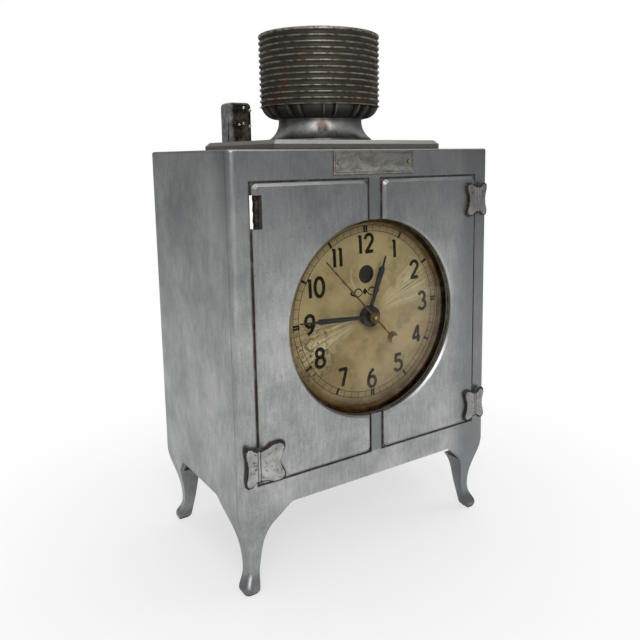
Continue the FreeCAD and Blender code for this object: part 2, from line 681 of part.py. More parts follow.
def control_box():
    base = "case_top + plinth_high"
    front = deep("case_depth / 2 + box_front")
    back = deep("case_depth / 2 + box_back")
    blank = block("box_blank", ("box_left", "box_right"), (front, back),
                  (base, base + " + box_high"))
    low = size(base)
    rounded = softened("box_rounded", blank, "Fillet", "box_round",
                       lambda middle, edge: middle.z > low + 1e-3)
    screw_at = ("(box_left + box_right) / 2", deep("(case_depth + box_front + box_back) / 2"))
    hole = rod("box_hole", "1.1", screw_at + (base + " - 1",), "8", "z")
    slit = block("box_slit", ("box_left - 1", "box_left + 0.6"),
                 (front + " + 2.0", front + " + 2.9"), (base + " + 0.8", base + " + 8.5"))
    node(cut("box_finished", rounded, [hole, slit]), "control_box")
    under = "case_top - case_wall"
    shank = rod("box_screw_shank", "1.1", screw_at + (under,), "case_wall + plinth_high + 5", "z")
    head = rod("box_screw_head", "2.3", screw_at + (under + " - 1.4",), "1.4", "z")
    node(joined("box_screw", [shank, head]), "control_box_screw")


# --- glass, bezel and dial ------------------------------------------------------------------

def crystal():
    """A domed glass with a flat rim flange: a wide crown that turns down in a tight knuckle."""
    crown_end = 0.86 * size("glass_radius")
    thick = size("glass_thick")
    seat = size(deep("case_wall"))
    apex = size(deep("-glass_proud"))
    flange = size("glass_flange")
    shoulder_drop = 3.3
    inner_end = crown_end - 0.8
    crown = (crown_end ** 2 + shoulder_drop ** 2) / (2 * shoulder_drop)
    inner_crown = (inner_end ** 2 + shoulder_drop ** 2) / (2 * shoulder_drop)
    outline = [(0.0, apex), (crown_end, apex + shoulder_drop, -crown),
               (size("glass_radius"), seat, -7.7), (flange, seat), (flange, seat + 1.2),
               (size("glass_radius") - thick - 0.3, seat + 1.2),
               (inner_end, apex + shoulder_drop + thick, 6.2),
               (0.0, apex + thick, inner_crown)]
    sides = []
    for number, vertex in enumerate(outline):
        start = V(outline[number - 1][0], outline[number - 1][1], 0)
        end = V(vertex[0], vertex[1], 0)
        if len(vertex) == 3:
            sides.append(Part.Arc(start, arc_middle(start, end, vertex[2]), end).toShape())
        else:
            sides.append(Part.LineSegment(start, end).toShape())
    glass = Part.Face(Part.Wire(sides)).revolve(V(), V(0, 1, 0), 360)
    glass.translate(AXIS)
    node(made("glass", glass), "crystal")


def bezel():
    near = "case_wall + 1.2"
    node(turned("dial_bezel", "y", [
        ("bezel_radius", deep(near)),
        ("glass_flange", deep(near)),
        ("glass_flange", deep(near + " + bezel_sheet")),
        ("bezel_radius + bezel_sheet", deep(near + " + bezel_sheet")),
        ("bezel_radius + bezel_sheet - 0.5", deep("dial_deep")),
        ("bezel_radius - 0.5", deep("dial_deep"))], z="dial_height"), "dial_bezel")


def dial():
    blank = disc(size("dial_radius"), "dial_deep", "dial_deep + dial_thick", AXIS)
    holes = [disc(size("hour_radius + 0.8"), "dial_deep - 1", "dial_deep + 2", AXIS),
             disc(size("window_radius"), "dial_deep - 1", "dial_deep + 2",
                  AXIS + V(0, 0, size("window_up")))]
    node(made("dial_disc", blank.cut(holes)), "dial_plate")
    back = "dial_deep + dial_thick"
    feet = [disc(1.3, back, "front_plate_deep", AXIS + V(side * 26.0, 0, -8.0))
            for side in (-1, 1)]
    node(made("feet", Part.makeCompound(feet)), "dial_feet")


# --- hands ------------------------------------------------------------------------------------

def baton(length, shoulder, root_wide, wide, tip_wide, degrees, near, far, hub):
    """A hand that widens to a shoulder and ends in a thin tip."""
    half = [(root_wide / 2, hub * 0.8), (wide / 2, shoulder - 1.2),
            (wide / 2 - 0.2, shoulder), (tip_wide / 2, shoulder + 0.6), (tip_wide / 2, length)]
    points = [V(x, 0, z) for x, z in half] + [V(-x, 0, z) for x, z in reversed(half)]
    turn = FreeCAD.Rotation(V(0, 1, 0), degrees)
    return slab([turn.multVec(point) + AXIS for point in points], near, far)


DIAL_TILT = -2.5
MINUTES = 45.9
MINUTE_AT = MINUTES * 6.0 + DIAL_TILT
HOUR_AT = MINUTES * 0.5 + DIAL_TILT
SECOND_AT = 53.3 * 6.0 + DIAL_TILT
HOUR_DEEP = "dial_deep - 1.8"
MINUTE_DEEP = "dial_deep - 3.4"
SECOND_DEEP = "dial_deep - 6.4"


def hour_hand():
    blade = baton(26.2, 21.0, 1.5, 2.8, 0.7, HOUR_AT, HOUR_DEEP, HOUR_DEEP + " + 0.4", 4.4)
    hub = disc(4.4, HOUR_DEEP + " - 0.2", HOUR_DEEP + " + 0.9", AXIS)
    bore = disc(size("hour_radius"), HOUR_DEEP + " - 2", HOUR_DEEP + " + 3", AXIS)
    node(made("hour_blade", welded([hub, blade]).cut(bore)), "hour_hand")


def minute_hand():
    blade = baton(34.3, 25.7, 1.4, 2.3, 0.7, MINUTE_AT, MINUTE_DEEP, MINUTE_DEEP + " + 0.4", 4.4)
    hub = disc(4.4, MINUTE_DEEP + " - 0.5", MINUTE_DEEP + " + 0.8", AXIS)
    bore = disc(size("minute_radius"), MINUTE_DEEP + " - 2", MINUTE_DEEP + " + 3", AXIS)
    node(made("minute_blade", welded([hub, blade]).cut(bore)), "minute_hand")


def second_hand():
    far = SECOND_DEEP + " + 0.35"
    outline = [V(0.35, 0, -11.2), V(0.30, 0, 34.4), V(0, 0, 34.9), V(-0.30, 0, 34.4),
               V(-0.35, 0, -11.2)]
    turn = FreeCAD.Rotation(V(0, 1, 0), SECOND_AT)
    needle = slab([turn.multVec(point) + AXIS for point in outline], SECOND_DEEP, far)
    moon_at = turn.multVec(V(0, 0, -13.0)) + AXIS
    bite_at = turn.multVec(V(0, 0, -14.3)) + AXIS
    moon = disc(2.4, SECOND_DEEP, far, moon_at).cut(
        disc(1.8, SECOND_DEEP + " - 1", far + " + 1", bite_at))
    hub = disc(2.9, SECOND_DEEP + " - 0.3", SECOND_DEEP + " + 0.6", AXIS)
    pipe = disc(1.1, SECOND_DEEP + " + 0.6", SECOND_DEEP + " + 2.1", AXIS)
    bore = disc(size("seconds_radius"), SECOND_DEEP + " - 2", SECOND_DEEP + " + 4", AXIS)
    node(made("second_needle", welded([hub, needle, moon, pipe]).cut(bore)), "second_hand")


# --- going train and motion work -------------------------------------------------------------

def seconds_arbor():
    shaft = disc(size("seconds_radius"), SECOND_DEEP + " - 0.2", "back_plate_deep + brass_thick",
                 AXIS)
    wheel = toothed(SECONDS_TEETH, DRIVE_MODULE, "22.0", "23.0", AXIS, MOTOR_AT)
    collet = disc(2.0, "20.6", "25.5", AXIS)
    pinion = toothed(PINION_TEETH, GOING_MODULE, "17.8", "20.6", AXIS, GOING_AT)
    node(made("seconds_all", welded([shaft, wheel, collet, pinion])), "seconds_arbor")


def motor_pinion():
    shaft = disc(0.7, "21.2", "31.0", MOTOR)
    pinion = toothed(MOTOR_TEETH, DRIVE_MODULE, "21.6", "23.4", MOTOR,
                     gap_facing(MOTOR_AT, MOTOR_TEETH))
    node(made("motor_output", welded([shaft, pinion])), "motor_pinion")


def intermediate_arbor():
    shaft = disc(0.8, "front_plate_deep + brass_thick + 0.3", "back_plate_deep - 0.3", GOING)
    pivots = disc(0.4, "front_plate_deep", "back_plate_deep + brass_thick", GOING)
    wheel = toothed(GOING_TEETH, GOING_MODULE, "18.4", "19.2", GOING,
                    gap_facing(GOING_AT, GOING_TEETH))
    pinion = toothed(PINION_TEETH, CENTRE_MODULE, "13.6", "15.2", GOING, GOING_AT + 180.0)
    node(made("intermediate_all", welded([shaft, pivots, wheel, pinion])), "intermediate_wheel")


def centre_wheel():
    wheel = toothed(CENTRE_TEETH, CENTRE_MODULE, "13.9", "14.8", AXIS,
                    gap_facing(GOING_AT + 180.0, CENTRE_TEETH))
    hub = disc(3.0, "13.2", "13.9", AXIS)
    bore = disc(size("minute_radius + running_gap"), "10", "18", AXIS)
    windows = [disc(2.4, "13", "16", AXIS + clock_point(7.2, 60.0 * spoke))
               for spoke in range(6)]
    node(made("centre_all", welded([wheel, hub]).cut([bore] + windows)), "centre_wheel")


def minute_arbor():
    tube = disc(size("minute_radius"), MINUTE_DEEP + " - 0.9", "16.4", AXIS)
    collar = disc(2.6, "15.9", "16.4", AXIS)
    cannon = toothed(CANNON_TEETH, CANNON_MODULE, "9.6", "10.7", AXIS, MOTION_AT)
    bore = disc(size("seconds_radius + running_gap"), "-5", "20", AXIS)
    node(made("minute_all", welded([tube, collar, cannon]).cut(bore)), "minute_arbor")


def clutch_spring():
    """A dished star washer that presses the centre wheel against the minute arbor's collar."""
    star = []
    for arm in range(3):
        for radius, degrees in ((2.6, -40), (6.4, -12), (6.4, 12), (2.6, 40)):
            star.append(AXIS + clock_point(radius, 120.0 * arm + degrees))
    spring = slab(star, "15.2", "15.6").fuse(disc(2.9, "15.2", "15.9", AXIS))
    bore = disc(size("minute_radius"), "10", "18", AXIS)
    node(made("clutch_star", spring.cut(bore)), "clutch_spring")


def motion_wheel():
    shaft = disc(size("set_radius"), "7.6", "housing_deep + 3.2", MOTION)
    wheel = toothed(MOTION_TEETH, CANNON_MODULE, "9.75", "10.55", MOTION,
                    gap_facing(MOTION_AT, MOTION_TEETH))
    pinion = toothed(PINION_TEETH, HOUR_MODULE, "8.1", "9.4", MOTION, MOTION_AT + 180.0)
    collet = disc(2.2, "9.4", "10.9", MOTION)
    node(made("motion_all", welded([shaft, wheel, pinion, collet])), "motion_wheel")


def hour_wheel():
    wheel = toothed(HOUR_TEETH, HOUR_MODULE, "8.3", "9.2", AXIS,
                    gap_facing(MOTION_AT + 180.0, HOUR_TEETH))
    pipe = disc(size("hour_radius"), HOUR_DEEP + " - 0.4", "9.2", AXIS)
    bore = disc(size("minute_radius + running_gap"), "-5", "12", AXIS)
    node(made("hour_all", welded([wheel, pipe]).cut(bore)), "hour_wheel")


def set_knob():
    near = "housing_deep + 3.2"
    far = near + " + knob_long"
    knob = disc(size("knob_radius"), near, far, MOTION)
    knob = knob.makeChamfer(0.6, [edge for edge in knob.Edges if edge.Closed])
    flutes = [disc(0.55, near + " - 1", far + " + 1", MOTION + clock_point(7.2, 15.0 * flute))
              for flute in range(24)]
    socket = disc(size("set_radius"), near + " - 1.5", near + " + 5", MOTION)
    neck = disc(2.6, near + " - 1.4", near, MOTION)
    node(made("knob", welded([knob.cut(flutes), neck]).cut(socket)), "set_knob")


# --- movement frame ----------------------------------------------------------------------------

PILLARS = ring_places(3, size("pillar_ring"))
CORE_SCREWS = [MOTOR + V(side * 15.4, 0, 0) for side in (-1, 1)]
ARM_PIVOT = AXIS + V(-14.0, 0, 20.0)


def plates():
    gap = size("running_gap")
    blank = disc(size("plate_radius"), "front_plate_deep", "front_plate_deep + brass_thick", AXIS)
    holes = [disc(size("minute_radius") + gap, "5", "20", AXIS),
             disc(0.4 + gap, "5", "20", GOING),
             disc(size("set_radius") + gap, "5", "20", MOTION)]
    holes += [disc(1.25, "5", "20", place) for place in PILLARS]
    node(made("front_brass", blank.cut(holes)), "front_plate")
    blank = disc(size("plate_radius"), "back_plate_deep", "back_plate_deep + brass_thick", AXIS)
    holes = [disc(size("seconds_radius") + gap, "20", "35", AXIS),
             disc(0.4 + gap, "20", "35", GOING),
             disc(size("set_radius") + gap, "20", "35", MOTION),
             disc(3.1, "20", "35", MOTOR)]
    holes += [disc(1.25, "20", "35", place) for place in PILLARS]
    holes += [disc(1.1, "20", "35", place) for place in CORE_SCREWS]
    coil_room = 22.8
    holes.append(Part.makeBox(80, 80, 40, AXIS + V(-40, -40, -40 - coil_room)))
    node(made("back_brass", blank.cut(holes)), "back_plate")
    near = "front_plate_deep + brass_thick"
    pillars = [disc(size("pillar_radius"), near, "back_plate_deep", place).cut(
        disc(1.25, near + " - 1", "back_plate_deep + 1", place)) for place in PILLARS]
    node(made("three_pillars", Part.makeCompound(pillars)), "pillars")
    near = "back_plate_deep + brass_thick"
    far = "housing_deep - housing_sheet"
    spacers = [disc(2.2, near, far, place).cut(disc(1.25, near + " - 1", far + " + 1", place))
               for place in PILLARS]
    node(made("three_spacers", Part.makeCompound(spacers)), "spacer_posts")
    bolts = [welded([disc(1.25, "front_plate_deep", "housing_deep", place),
                     disc(2.4, "front_plate_deep - 1.0", "front_plate_deep", place),
                     disc(2.7, "housing_deep", "housing_deep + 1.5", place).cut(
                         disc(1.25, "housing_deep - 1", "housing_deep + 3", place)),
                     disc(1.25, "housing_deep", "housing_deep + 2.1", place)])
             for place in PILLARS]
    node(made("through_bolts", Part.makeCompound(bolts)), "movement_bolts")


def housing():
    near = "case_wall + 1.2 + bezel_sheet"
    flange = disc(size("flange_radius"), "case_wall + 2.2", "case_wall + 3.0", AXIS)
    wall = disc(size("housing_radius + 1.0"), "case_wall + 2.2", "housing_deep", AXIS)
    hollow = disc(size("housing_radius + 1.0 - housing_sheet"), near + " - 1",
                  "housing_deep - housing_sheet", AXIS)
    screws = ring_places(4, size("boss_ring"), 45.0)
    holes = [disc(1.1, "0", "20", place) for place in screws]
    holes += [disc(1.25, "40", "60", place) for place in PILLARS]
    holes.append(disc(size("set_radius") + 0.4, "40", "60", MOTION))
    inlet = AXIS + V(size("grommet_x"), 0, size("grommet_up"))
    holes.append(disc(size("grommet_radius"), "40", "60", inlet))
    vents = [place for place in ring_places(16, 35.5, 11.25)
             if place.distanceToPoint(inlet) > 10]
    holes += [disc(1.7, "40", "60", place) for place in vents]
    cup = wall.fuse(flange).cut([hollow] + holes).removeSplitter()
    node(made("housing", cup), "movement_housing")
    bolts = [welded([disc(0.9, "1.4", "case_wall + 3.0", place),
                     disc(1.9, "case_wall + 3.0", "case_wall + 4.2", place)])
             for place in screws]
    node(made("four_screws", Part.makeCompound(bolts)), "housing_screws")


def retaining_ring():
    """A spring ring that presses the dial, bezel and glass forward inside the housing."""
    ring = disc(size("housing_radius + 0.15"), "dial_deep + dial_thick",
                "dial_deep + dial_thick + 0.8", AXIS)
    inner = disc(size("dial_radius - 1.6"), "dial_deep - 1", "dial_deep + 4", AXIS)
    node(made("ring", ring.cut(inner)), "dial_retaining_ring")


# --- motor ---------------------------------------------------------------------------------------

def motor():
    radius = size("capsule_radius")
    near = "back_plate_deep + brass_thick + 0.4"
    can = disc(radius, near, "41.0", MOTOR).fuse(disc(3.0, "24.4", near, MOTOR))
    can = can.cut([disc(radius - 0.8, near + " + 0.8", "42.0", MOTOR),
                   disc(0.75, "20", near + " + 2", MOTOR)])
    node(made("capsule", can), "rotor_capsule")
    cap = disc(radius - 0.8, "40.2", "41.0", MOTOR).fuse(disc(1.6, "38.6", "40.2", MOTOR))
    node(made("capsule_lid", cap.cut(disc(0.55, "38", "40.2", MOTOR))), "rotor_capsule_lid")
    rotor = welded([disc(8.4, "33.4", "36.6", MOTOR), disc(0.5, "31.6", "40.0", MOTOR)])
    node(made("rotor_all", rotor), "rotor_disc")
    near = "core_deep"
    far = "core_deep + core_thick"
    low = size("dial_height")

    def plane_box(x, up, start, end):
        first = size(deep(start))
        return Part.makeBox(x[1] - x[0], size(deep(end)) - first, up[1] - up[0],
                            V(x[0], first, low + up[0]))
    core = plane_box((-19, 19), (-34.3, 2.5), near, far)
    core = core.cut([disc(radius + 0.2, near + " - 1", far + " + 1", MOTOR),
                     plane_box((-12.2, 12.2), (-27.8, -23.3), near + " - 1", far + " + 1")]
                    + [disc(1.1, near + " - 1", far + " + 1", place) for place in CORE_SCREWS])
    node(made("laminations", core), "field_core")
    leg = plane_box((-13, 13), (-34.3, -27.8), near, far)
    tube = plane_box((-11.0, 11.0), (-35.0, -27.1), "core_deep - 0.7", far + " + 0.7")
    cheeks = [plane_box(x, (-38.4, -23.6), "core_deep - 3.6", far + " + 3.6")
              for x in ((-12.0, -11.0), (11.0, 12.0))]
    node(made("bobbin", welded([tube] + cheeks).cut(leg)), "coil_bobbin")
    pack = plane_box((-10.9, 10.9), (-38.1, -23.9), "core_deep - 3.3", far + " + 3.3")
    along = [edge for edge in pack.Edges if abs(edge.tangentAt(0).x) > 0.99]
    pack = pack.makeFillet(2.6, along)
    opening = plane_box((-11.5, 11.5), (-35.0, -27.1), "core_deep - 0.7", far + " + 0.7")
    node(made("winding", pack.cut(opening)), "coil_winding")
    spacers = [disc(2.4, "back_plate_deep + brass_thick", near, place).cut(
        disc(1.1, "20", "40", place)) for place in CORE_SCREWS]
    node(made("core_tubes", Part.makeCompound(spacers)), "core_spacers")
    bolts = [welded([disc(1.1, "back_plate_deep", far, place), disc(2.2, far, far + " + 1.5", place)])
             for place in CORE_SCREWS]
    node(made("core_bolts", Part.makeCompound(bolts)), "core_screws")


def indicator():
    """A shutter behind the dial's small window that swings aside when the current fails."""
    window = AXIS + V(0, 0, size("window_up"))
    shutter = disc(5.0, "7.5", "7.9", window)
    along = window - ARM_PIVOT
    across = V(-along.z, 0, along.x).normalize() * 0.8
    arm = slab([ARM_PIVOT + across, window + across, window - across, ARM_PIVOT - across],
               "7.5", "7.9")
    eye = disc(2.2, "7.5", "7.9", ARM_PIVOT)
    bore = disc(0.85, "5", "12", ARM_PIVOT)
    node(made("shutter", welded([shutter, arm, eye]).cut(bore)), "indicator_arm")
    stud = welded([disc(0.8, "7.2", "front_plate_deep", ARM_PIVOT),
                   disc(1.8, "8.0", "front_plate_deep", ARM_PIVOT),
                   disc(1.4, "7.1", "7.4", ARM_PIVOT)])
    node(made("stud", stud), "indicator_stud")


# --- wiring ---------------------------------------------------------------------------------------

def wiring():
    inlet = AXIS + V(size("grommet_x"), 0, size("grommet_up"))
    sheet_near = "housing_deep - housing_sheet"
    grommet = welded([disc(size("grommet_radius"), sheet_near + " - 2.0", "housing_deep + 2.0",
                           inlet),
                      disc(size("grommet_radius + 1.6"), sheet_near + " - 2.0", sheet_near, inlet),
                      disc(size("grommet_radius + 1.6"), "housing_deep", "housing_deep + 2.0",
                           inlet)])
    bore = disc(size("grommet_bore"), "40", "55", inlet)
    node(made("grommet", grommet.cut(bore)), "cord_grommet")
    back = size(deep(sheet_near))
    terminals = [AXIS + V(-30.0, 0, 6.0), AXIS + V(-30.0, 0, 14.0)]
    strip = Part.makeBox(8, 2.4, 16, V(-34, back - 2.4, AXIS.z + 2.0))
    taps = [disc(1.0, "38", "50", place) for place in terminals]
    node(made("strip", strip.cut(taps)), "terminal_strip")
    screws = [welded([disc(1.0, sheet_near + " - 2.4", sheet_near, place),
                      disc(2.2, sheet_near + " - 3.6", sheet_near + " - 2.4", place)])
              for place in terminals]
    node(made("terminal_brass", Part.makeCompound(screws)), "terminal_screws")
    winding_back = "core_deep + core_thick + 3.3"
    runs_at = winding_back + " + 1.0"
    routes = [[(-8.0, winding_back, -33.5), (-8.0, runs_at, -33.5), (-20.0, runs_at, -34.0),
               (-31.8, runs_at, -24.0), (-33.0, "41.0", -6.0), (-31.5, "41.0", 14.0)],
              [(-8.0, winding_back, -29.5), (-8.0, runs_at, -29.5), (-20.0, runs_at, -31.3),
               (-29.8, runs_at, -23.2), (-30.5, "41.0", -8.0), (-30.0, "41.0", 6.0)]]
    leads = []
    for route in routes:
        corners = [V(x, size(deep(far)), AXIS.z + up) for x, far, up in route]
        runs = [Part.makeCylinder(0.6, (end - start).Length, start, end - start)
                for start, end in zip(corners, corners[1:])]
        bends = [Part.makeSphere(0.6, corner) for corner in corners[1:]]
        leads.append(welded(runs + bends))
    node(made("leads", Part.makeCompound(leads)), "lead_wires")


case_walls()
hinge("hinge_lower_left", -1, "hinge_low", "wide")
hinge("hinge_lower_right", 1, "hinge_low", "narrow")
hinge("hinge_upper_right", 1, "hinge_up", "narrow")
name_plate()
drum()
tie_bolt()
control_box()
crystal()
bezel()
dial()
hour_hand()
minute_hand()
second_hand()
seconds_arbor()
motor_pinion()
intermediate_arbor()
centre_wheel()
minute_arbor()
clutch_spring()
motion_wheel()
hour_wheel()
set_knob()
plates()
housing()
retaining_ring()
motor()
indicator()
wiring()
doc.recompute()

faults = [item.Name for item in doc.Objects if {"Invalid", "Error"} & set(item.State)]
for item in NODES:
    if item.Shape.isNull() or not item.Shape.isValid() or item.Shape.Volume <= 0:
        faults.append(item.Label)
if faults:
    raise SystemExit("failed objects: " + ", ".join(faults))

os.makedirs("parts", exist_ok=True)
for item in NODES:
    item.Shape.exportStep("parts/%s.step" % item.Label)
print("%d sub-parts written" % len(NODES))
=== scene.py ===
import json
import math
from functools import partial, reduce

import bmesh
import bpy
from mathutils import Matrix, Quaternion, Vector

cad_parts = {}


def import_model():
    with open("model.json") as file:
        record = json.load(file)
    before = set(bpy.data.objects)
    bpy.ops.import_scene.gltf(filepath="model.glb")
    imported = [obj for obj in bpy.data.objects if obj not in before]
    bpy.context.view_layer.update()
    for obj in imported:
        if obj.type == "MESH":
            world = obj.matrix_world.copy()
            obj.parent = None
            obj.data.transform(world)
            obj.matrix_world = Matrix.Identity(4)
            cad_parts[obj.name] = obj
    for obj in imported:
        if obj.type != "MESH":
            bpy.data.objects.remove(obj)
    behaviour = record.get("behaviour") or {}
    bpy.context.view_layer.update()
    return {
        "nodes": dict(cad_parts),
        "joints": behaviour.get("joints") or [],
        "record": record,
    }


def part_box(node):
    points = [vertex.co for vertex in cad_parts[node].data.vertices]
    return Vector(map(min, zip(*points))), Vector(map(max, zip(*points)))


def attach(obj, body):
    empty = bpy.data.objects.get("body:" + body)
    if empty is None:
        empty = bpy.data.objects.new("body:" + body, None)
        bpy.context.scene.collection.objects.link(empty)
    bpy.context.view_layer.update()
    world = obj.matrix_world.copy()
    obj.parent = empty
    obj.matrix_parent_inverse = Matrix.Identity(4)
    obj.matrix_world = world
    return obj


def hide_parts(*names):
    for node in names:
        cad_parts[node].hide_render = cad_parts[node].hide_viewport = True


# Looks of the electric mantel clock, in metres: +X to the viewer's right, +Y to the back, +Z
# up, the dial faces -Y.  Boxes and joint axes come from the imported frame; the other lengths
# repeat the CAD model's sizes or were judged from the photograph.

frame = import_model()
MM = 0.001

JOINTS = {joint["name"]: joint for joint in frame["joints"]}
HANDS_AXIS = Vector(JOINTS["minute_spin"]["pos_m"])
CASTING = ("case_front", "case_left_side", "case_right_side", "case_top", "case_floor",
           "leg_front_left", "leg_front_right", "leg_back_left", "leg_back_right")
CASE_LOW = Vector([min(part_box(node)[0][axis] for node in CASTING) for axis in range(3)])
CASE_HIGH = Vector([max(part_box(node)[1][axis] for node in CASTING) for axis in range(3)])
DRUM_LOW, DRUM_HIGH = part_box("drum_shell")
DRUM_MIDDLE = (DRUM_LOW + DRUM_HIGH) / 2
DIAL_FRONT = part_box("dial_plate")[0].y

# the outline that both door panels share, each on its own side of the middle
DOOR_INNER, DOOR_OUTER, DOOR_LOW, DOOR_HIGH = 3.5 * MM, 55.1 * MM, 46.2 * MM, 160.0 * MM
# heights of the room inside the case
ROOM_LOW, ROOM_HIGH = 37.0 * MM, 170.2 * MM
# a seam's middle lies this far outside its door, and its ends fade out between these two
SEAM_ASIDE, SEAM_FADE = 0.35 * MM, (0.6 * MM, 1.2 * MM)
# dried polish and dirt in grooves, which also carries the painted shade there
DIRT_AND_SHADE_BROWN = (0.050, 0.038, 0.025)


# --- node trees ---

class Tree:
    """A node tree, built with short calls that return sockets, or nodes where they say so."""

    def __init__(self, tree):
        self.tree = tree

    def node(self, kind, **settings):
        made = self.tree.nodes.new(kind)
        for name, value in settings.items():
            setattr(made, name, value)
        return made

    def feed(self, socket, value):
        if isinstance(value, bpy.types.NodeSocket):
            self.tree.links.new(value, socket)
        elif hasattr(socket.default_value, "__len__") and len(value) == 3:
            socket.default_value = (*value, 1.0)[:len(socket.default_value)]
        else:
            socket.default_value = value

    def math(self, operation, first, second=0.0):
        made = self.node("ShaderNodeMath", operation=operation)
        self.feed(made.inputs[0], first)
        self.feed(made.inputs[1], second)
        return made.outputs[0]

    def total(self, *values):
        return reduce(partial(self.math, "ADD"), values)

    def most(self, *values):
        return reduce(partial(self.math, "MAXIMUM"), values)

    def product(self, *values):
        return reduce(partial(self.math, "MULTIPLY"), values)

    def vector(self, operation, first, second, output="Vector"):
        made = self.node("ShaderNodeVectorMath", operation=operation)
        self.feed(made.inputs[0], first)
        self.feed(made.inputs[1], second)
        return made.outputs[output]

    def parts(self, vector):
        made = self.node("ShaderNodeSeparateXYZ")
        self.feed(made.inputs[0], vector)
        return made.outputs[0], made.outputs[1], made.outputs[2]

    def blend(self, share, first, second):
        """A shader between two shader nodes."""
        made = self.node("ShaderNodeMixShader")
        self.feed(made.inputs[0], share)
        self.tree.links.new(first.outputs[0], made.inputs[1])
        self.tree.links.new(second.outputs[0], made.inputs[2])
        return made


class Shade(Tree):
    """One material: its tree, the place and facing of each point, and patterns over them."""

    def __init__(self, name):
        self.material = bpy.data.materials.new(name)
        self.material.use_nodes = True
        super().__init__(self.material.node_tree)
        self.surface = self.tree.nodes["Principled BSDF"]
        coordinates = self.node("ShaderNodeTexCoord")
        self.place = coordinates.outputs["Object"]
        self.facing = coordinates.outputs["Normal"]

    def noise(self, scale, detail, rough=0.5, stretch=(1, 1, 1), place=None):
        made = self.node("ShaderNodeTexNoise")
        self.feed(made.inputs["Vector"], self.vector("MULTIPLY", place or self.place, stretch))
        made.inputs["Scale"].default_value = scale
        made.inputs["Detail"].default_value = detail
        made.inputs["Roughness"].default_value = rough
        return made.outputs["Fac"]

    def cells(self, scale, stretch):
        made = self.node("ShaderNodeTexVoronoi", feature="F1")
        self.feed(made.inputs["Vector"], self.vector("MULTIPLY", self.place, stretch))
        made.inputs["Scale"].default_value = scale
        return made.outputs["Distance"]

    def wave(self, scale, direction, distortion=0.0):
        made = self.node("ShaderNodeTexWave", bands_direction=direction)
        self.feed(made.inputs["Vector"], self.place)
        made.inputs["Scale"].default_value = scale
        made.inputs["Distortion"].default_value = distortion
        return made.outputs["Fac"]

    def range(self, value, low, high, start=0.0, end=1.0):
        made = self.node("ShaderNodeMapRange", interpolation_type="SMOOTHSTEP")
        self.feed(made.inputs["Value"], value)
        for name, amount in (("From Min", low), ("From Max", high), ("To Min", start),
                             ("To Max", end)):
            made.inputs[name].default_value = amount
        return made.outputs[0]

    def line(self, value, at, core, edge):
        """One up to `core` from a value, falling to nothing at `edge` from it."""
        away = self.math("ABSOLUTE", self.math("SUBTRACT", value, at))
        return self.fall(away, core, edge)

    def within(self, value, low, high, near, far):
        """One between two values, falling to nothing from `near` to `far` outside them."""
        return self.product(self.range(value, low - far, low - near),
                            self.fall(value, high + near, high + far))

    def fall(self, value, low, high):
        """One up to `low`, nothing from `high`."""
        return self.range(value, low, high, 1.0, 0.0)

    def mix(self, share, first, second):
        made = self.node("ShaderNodeMix", data_type="RGBA")
        self.feed(made.inputs["Factor"], share)
        self.feed(made.inputs[6], first)
        self.feed(made.inputs[7], second)
        return made.outputs[2]

    def tones(self, value, low, high, first, second):
        """The first colour up to `low`, the second from `high`."""
        return self.mix(self.range(value, low, high), first, second)

    def over(self, under, colour, share, strength):
        """A colour laid over another, as strongly as a share says."""
        return self.mix(self.product(share, strength), under, colour)

    def near(self, point, radius):
        """One at a point, falling to nothing at a distance."""
        away = self.vector("DISTANCE", self.place, tuple(point), "Value")
        return self.fall(away, 0.35 * radius, radius)

    def crevice(self, reach):
        """One where other surfaces stand close, which is where dirt gathers and shade falls."""
        made = self.node("ShaderNodeAmbientOcclusion", samples=8)
        made.inputs["Distance"].default_value = reach
        return self.fall(made.outputs["AO"], 0.55, 0.93)

    def polar(self, centre, along):
        """Distance from an axis, and the angle round it."""
        x, y, z = self.parts(self.vector("SUBTRACT", self.place, tuple(centre)))
        first, second = {"y": (x, z), "z": (x, y)}[along]
        squares = self.math("ADD", self.math("POWER", first, 2.0),
                            self.math("POWER", second, 2.0))
        return self.math("SQRT", squares), self.math("ARCTAN2", first, second)

    def bump(self, height, depth, strength, under=None):
        made = self.node("ShaderNodeBump")
        made.inputs["Strength"].default_value = strength
        made.inputs["Distance"].default_value = depth
        self.feed(made.inputs["Height"], height)
        if under is not None:
            self.feed(made.inputs["Normal"], under)
        return made.outputs[0]

    def show(self, shader):
        """Make a shader node the material's surface in place of the usual one."""
        output = self.tree.nodes["Material Output"]
        self.tree.links.new(shader.outputs[0], output.inputs["Surface"])

    def done(self, **inputs):
        """Set the shader's inputs, named with _ for a space, and hand over the material."""
        for name, value in inputs.items():
            self.feed(self.surface.inputs[name.replace("_", " ")], value)
        return self.material


# --- materials ---

def door_seams(s, x, y, z):
    """One along the outline of both doors, where old polish lies in the grooves, with painted
    shade darkening them further.
    """
    side = s.math("ABSOLUTE", x)

    def seam(value, at, half):
        return s.line(value, at, 0.35 * half, half)
    beside = s.most(seam(side, DOOR_OUTER + SEAM_ASIDE, 1.0 * MM),
                    seam(side, DOOR_INNER - SEAM_ASIDE, 1.0 * MM))
    beside = s.product(beside, s.within(z, DOOR_LOW, DOOR_HIGH, *SEAM_FADE))
    across = s.most(seam(z, DOOR_LOW - SEAM_ASIDE, 0.9 * MM),
                    seam(z, DOOR_HIGH + SEAM_ASIDE, 0.8 * MM))
    across = s.product(across, s.within(side, DOOR_INNER, DOOR_OUTER, *SEAM_FADE))
    clean_edge = s.range(x, DOOR_OUTER - 3 * MM, DOOR_OUTER - 1 * MM, 1.0, 0.35)
    beside, across = s.product(beside, clean_edge), s.product(across, 0.85)
    behind_doors = s.range(y, CASE_LOW.y + 0.9 * MM, CASE_LOW.y + 1.3 * MM)
    before_room = s.fall(y, CASE_LOW.y + 2.6 * MM, CASE_LOW.y + 3.0 * MM)
    return s.product(s.most(beside, across), behind_doors, before_room)


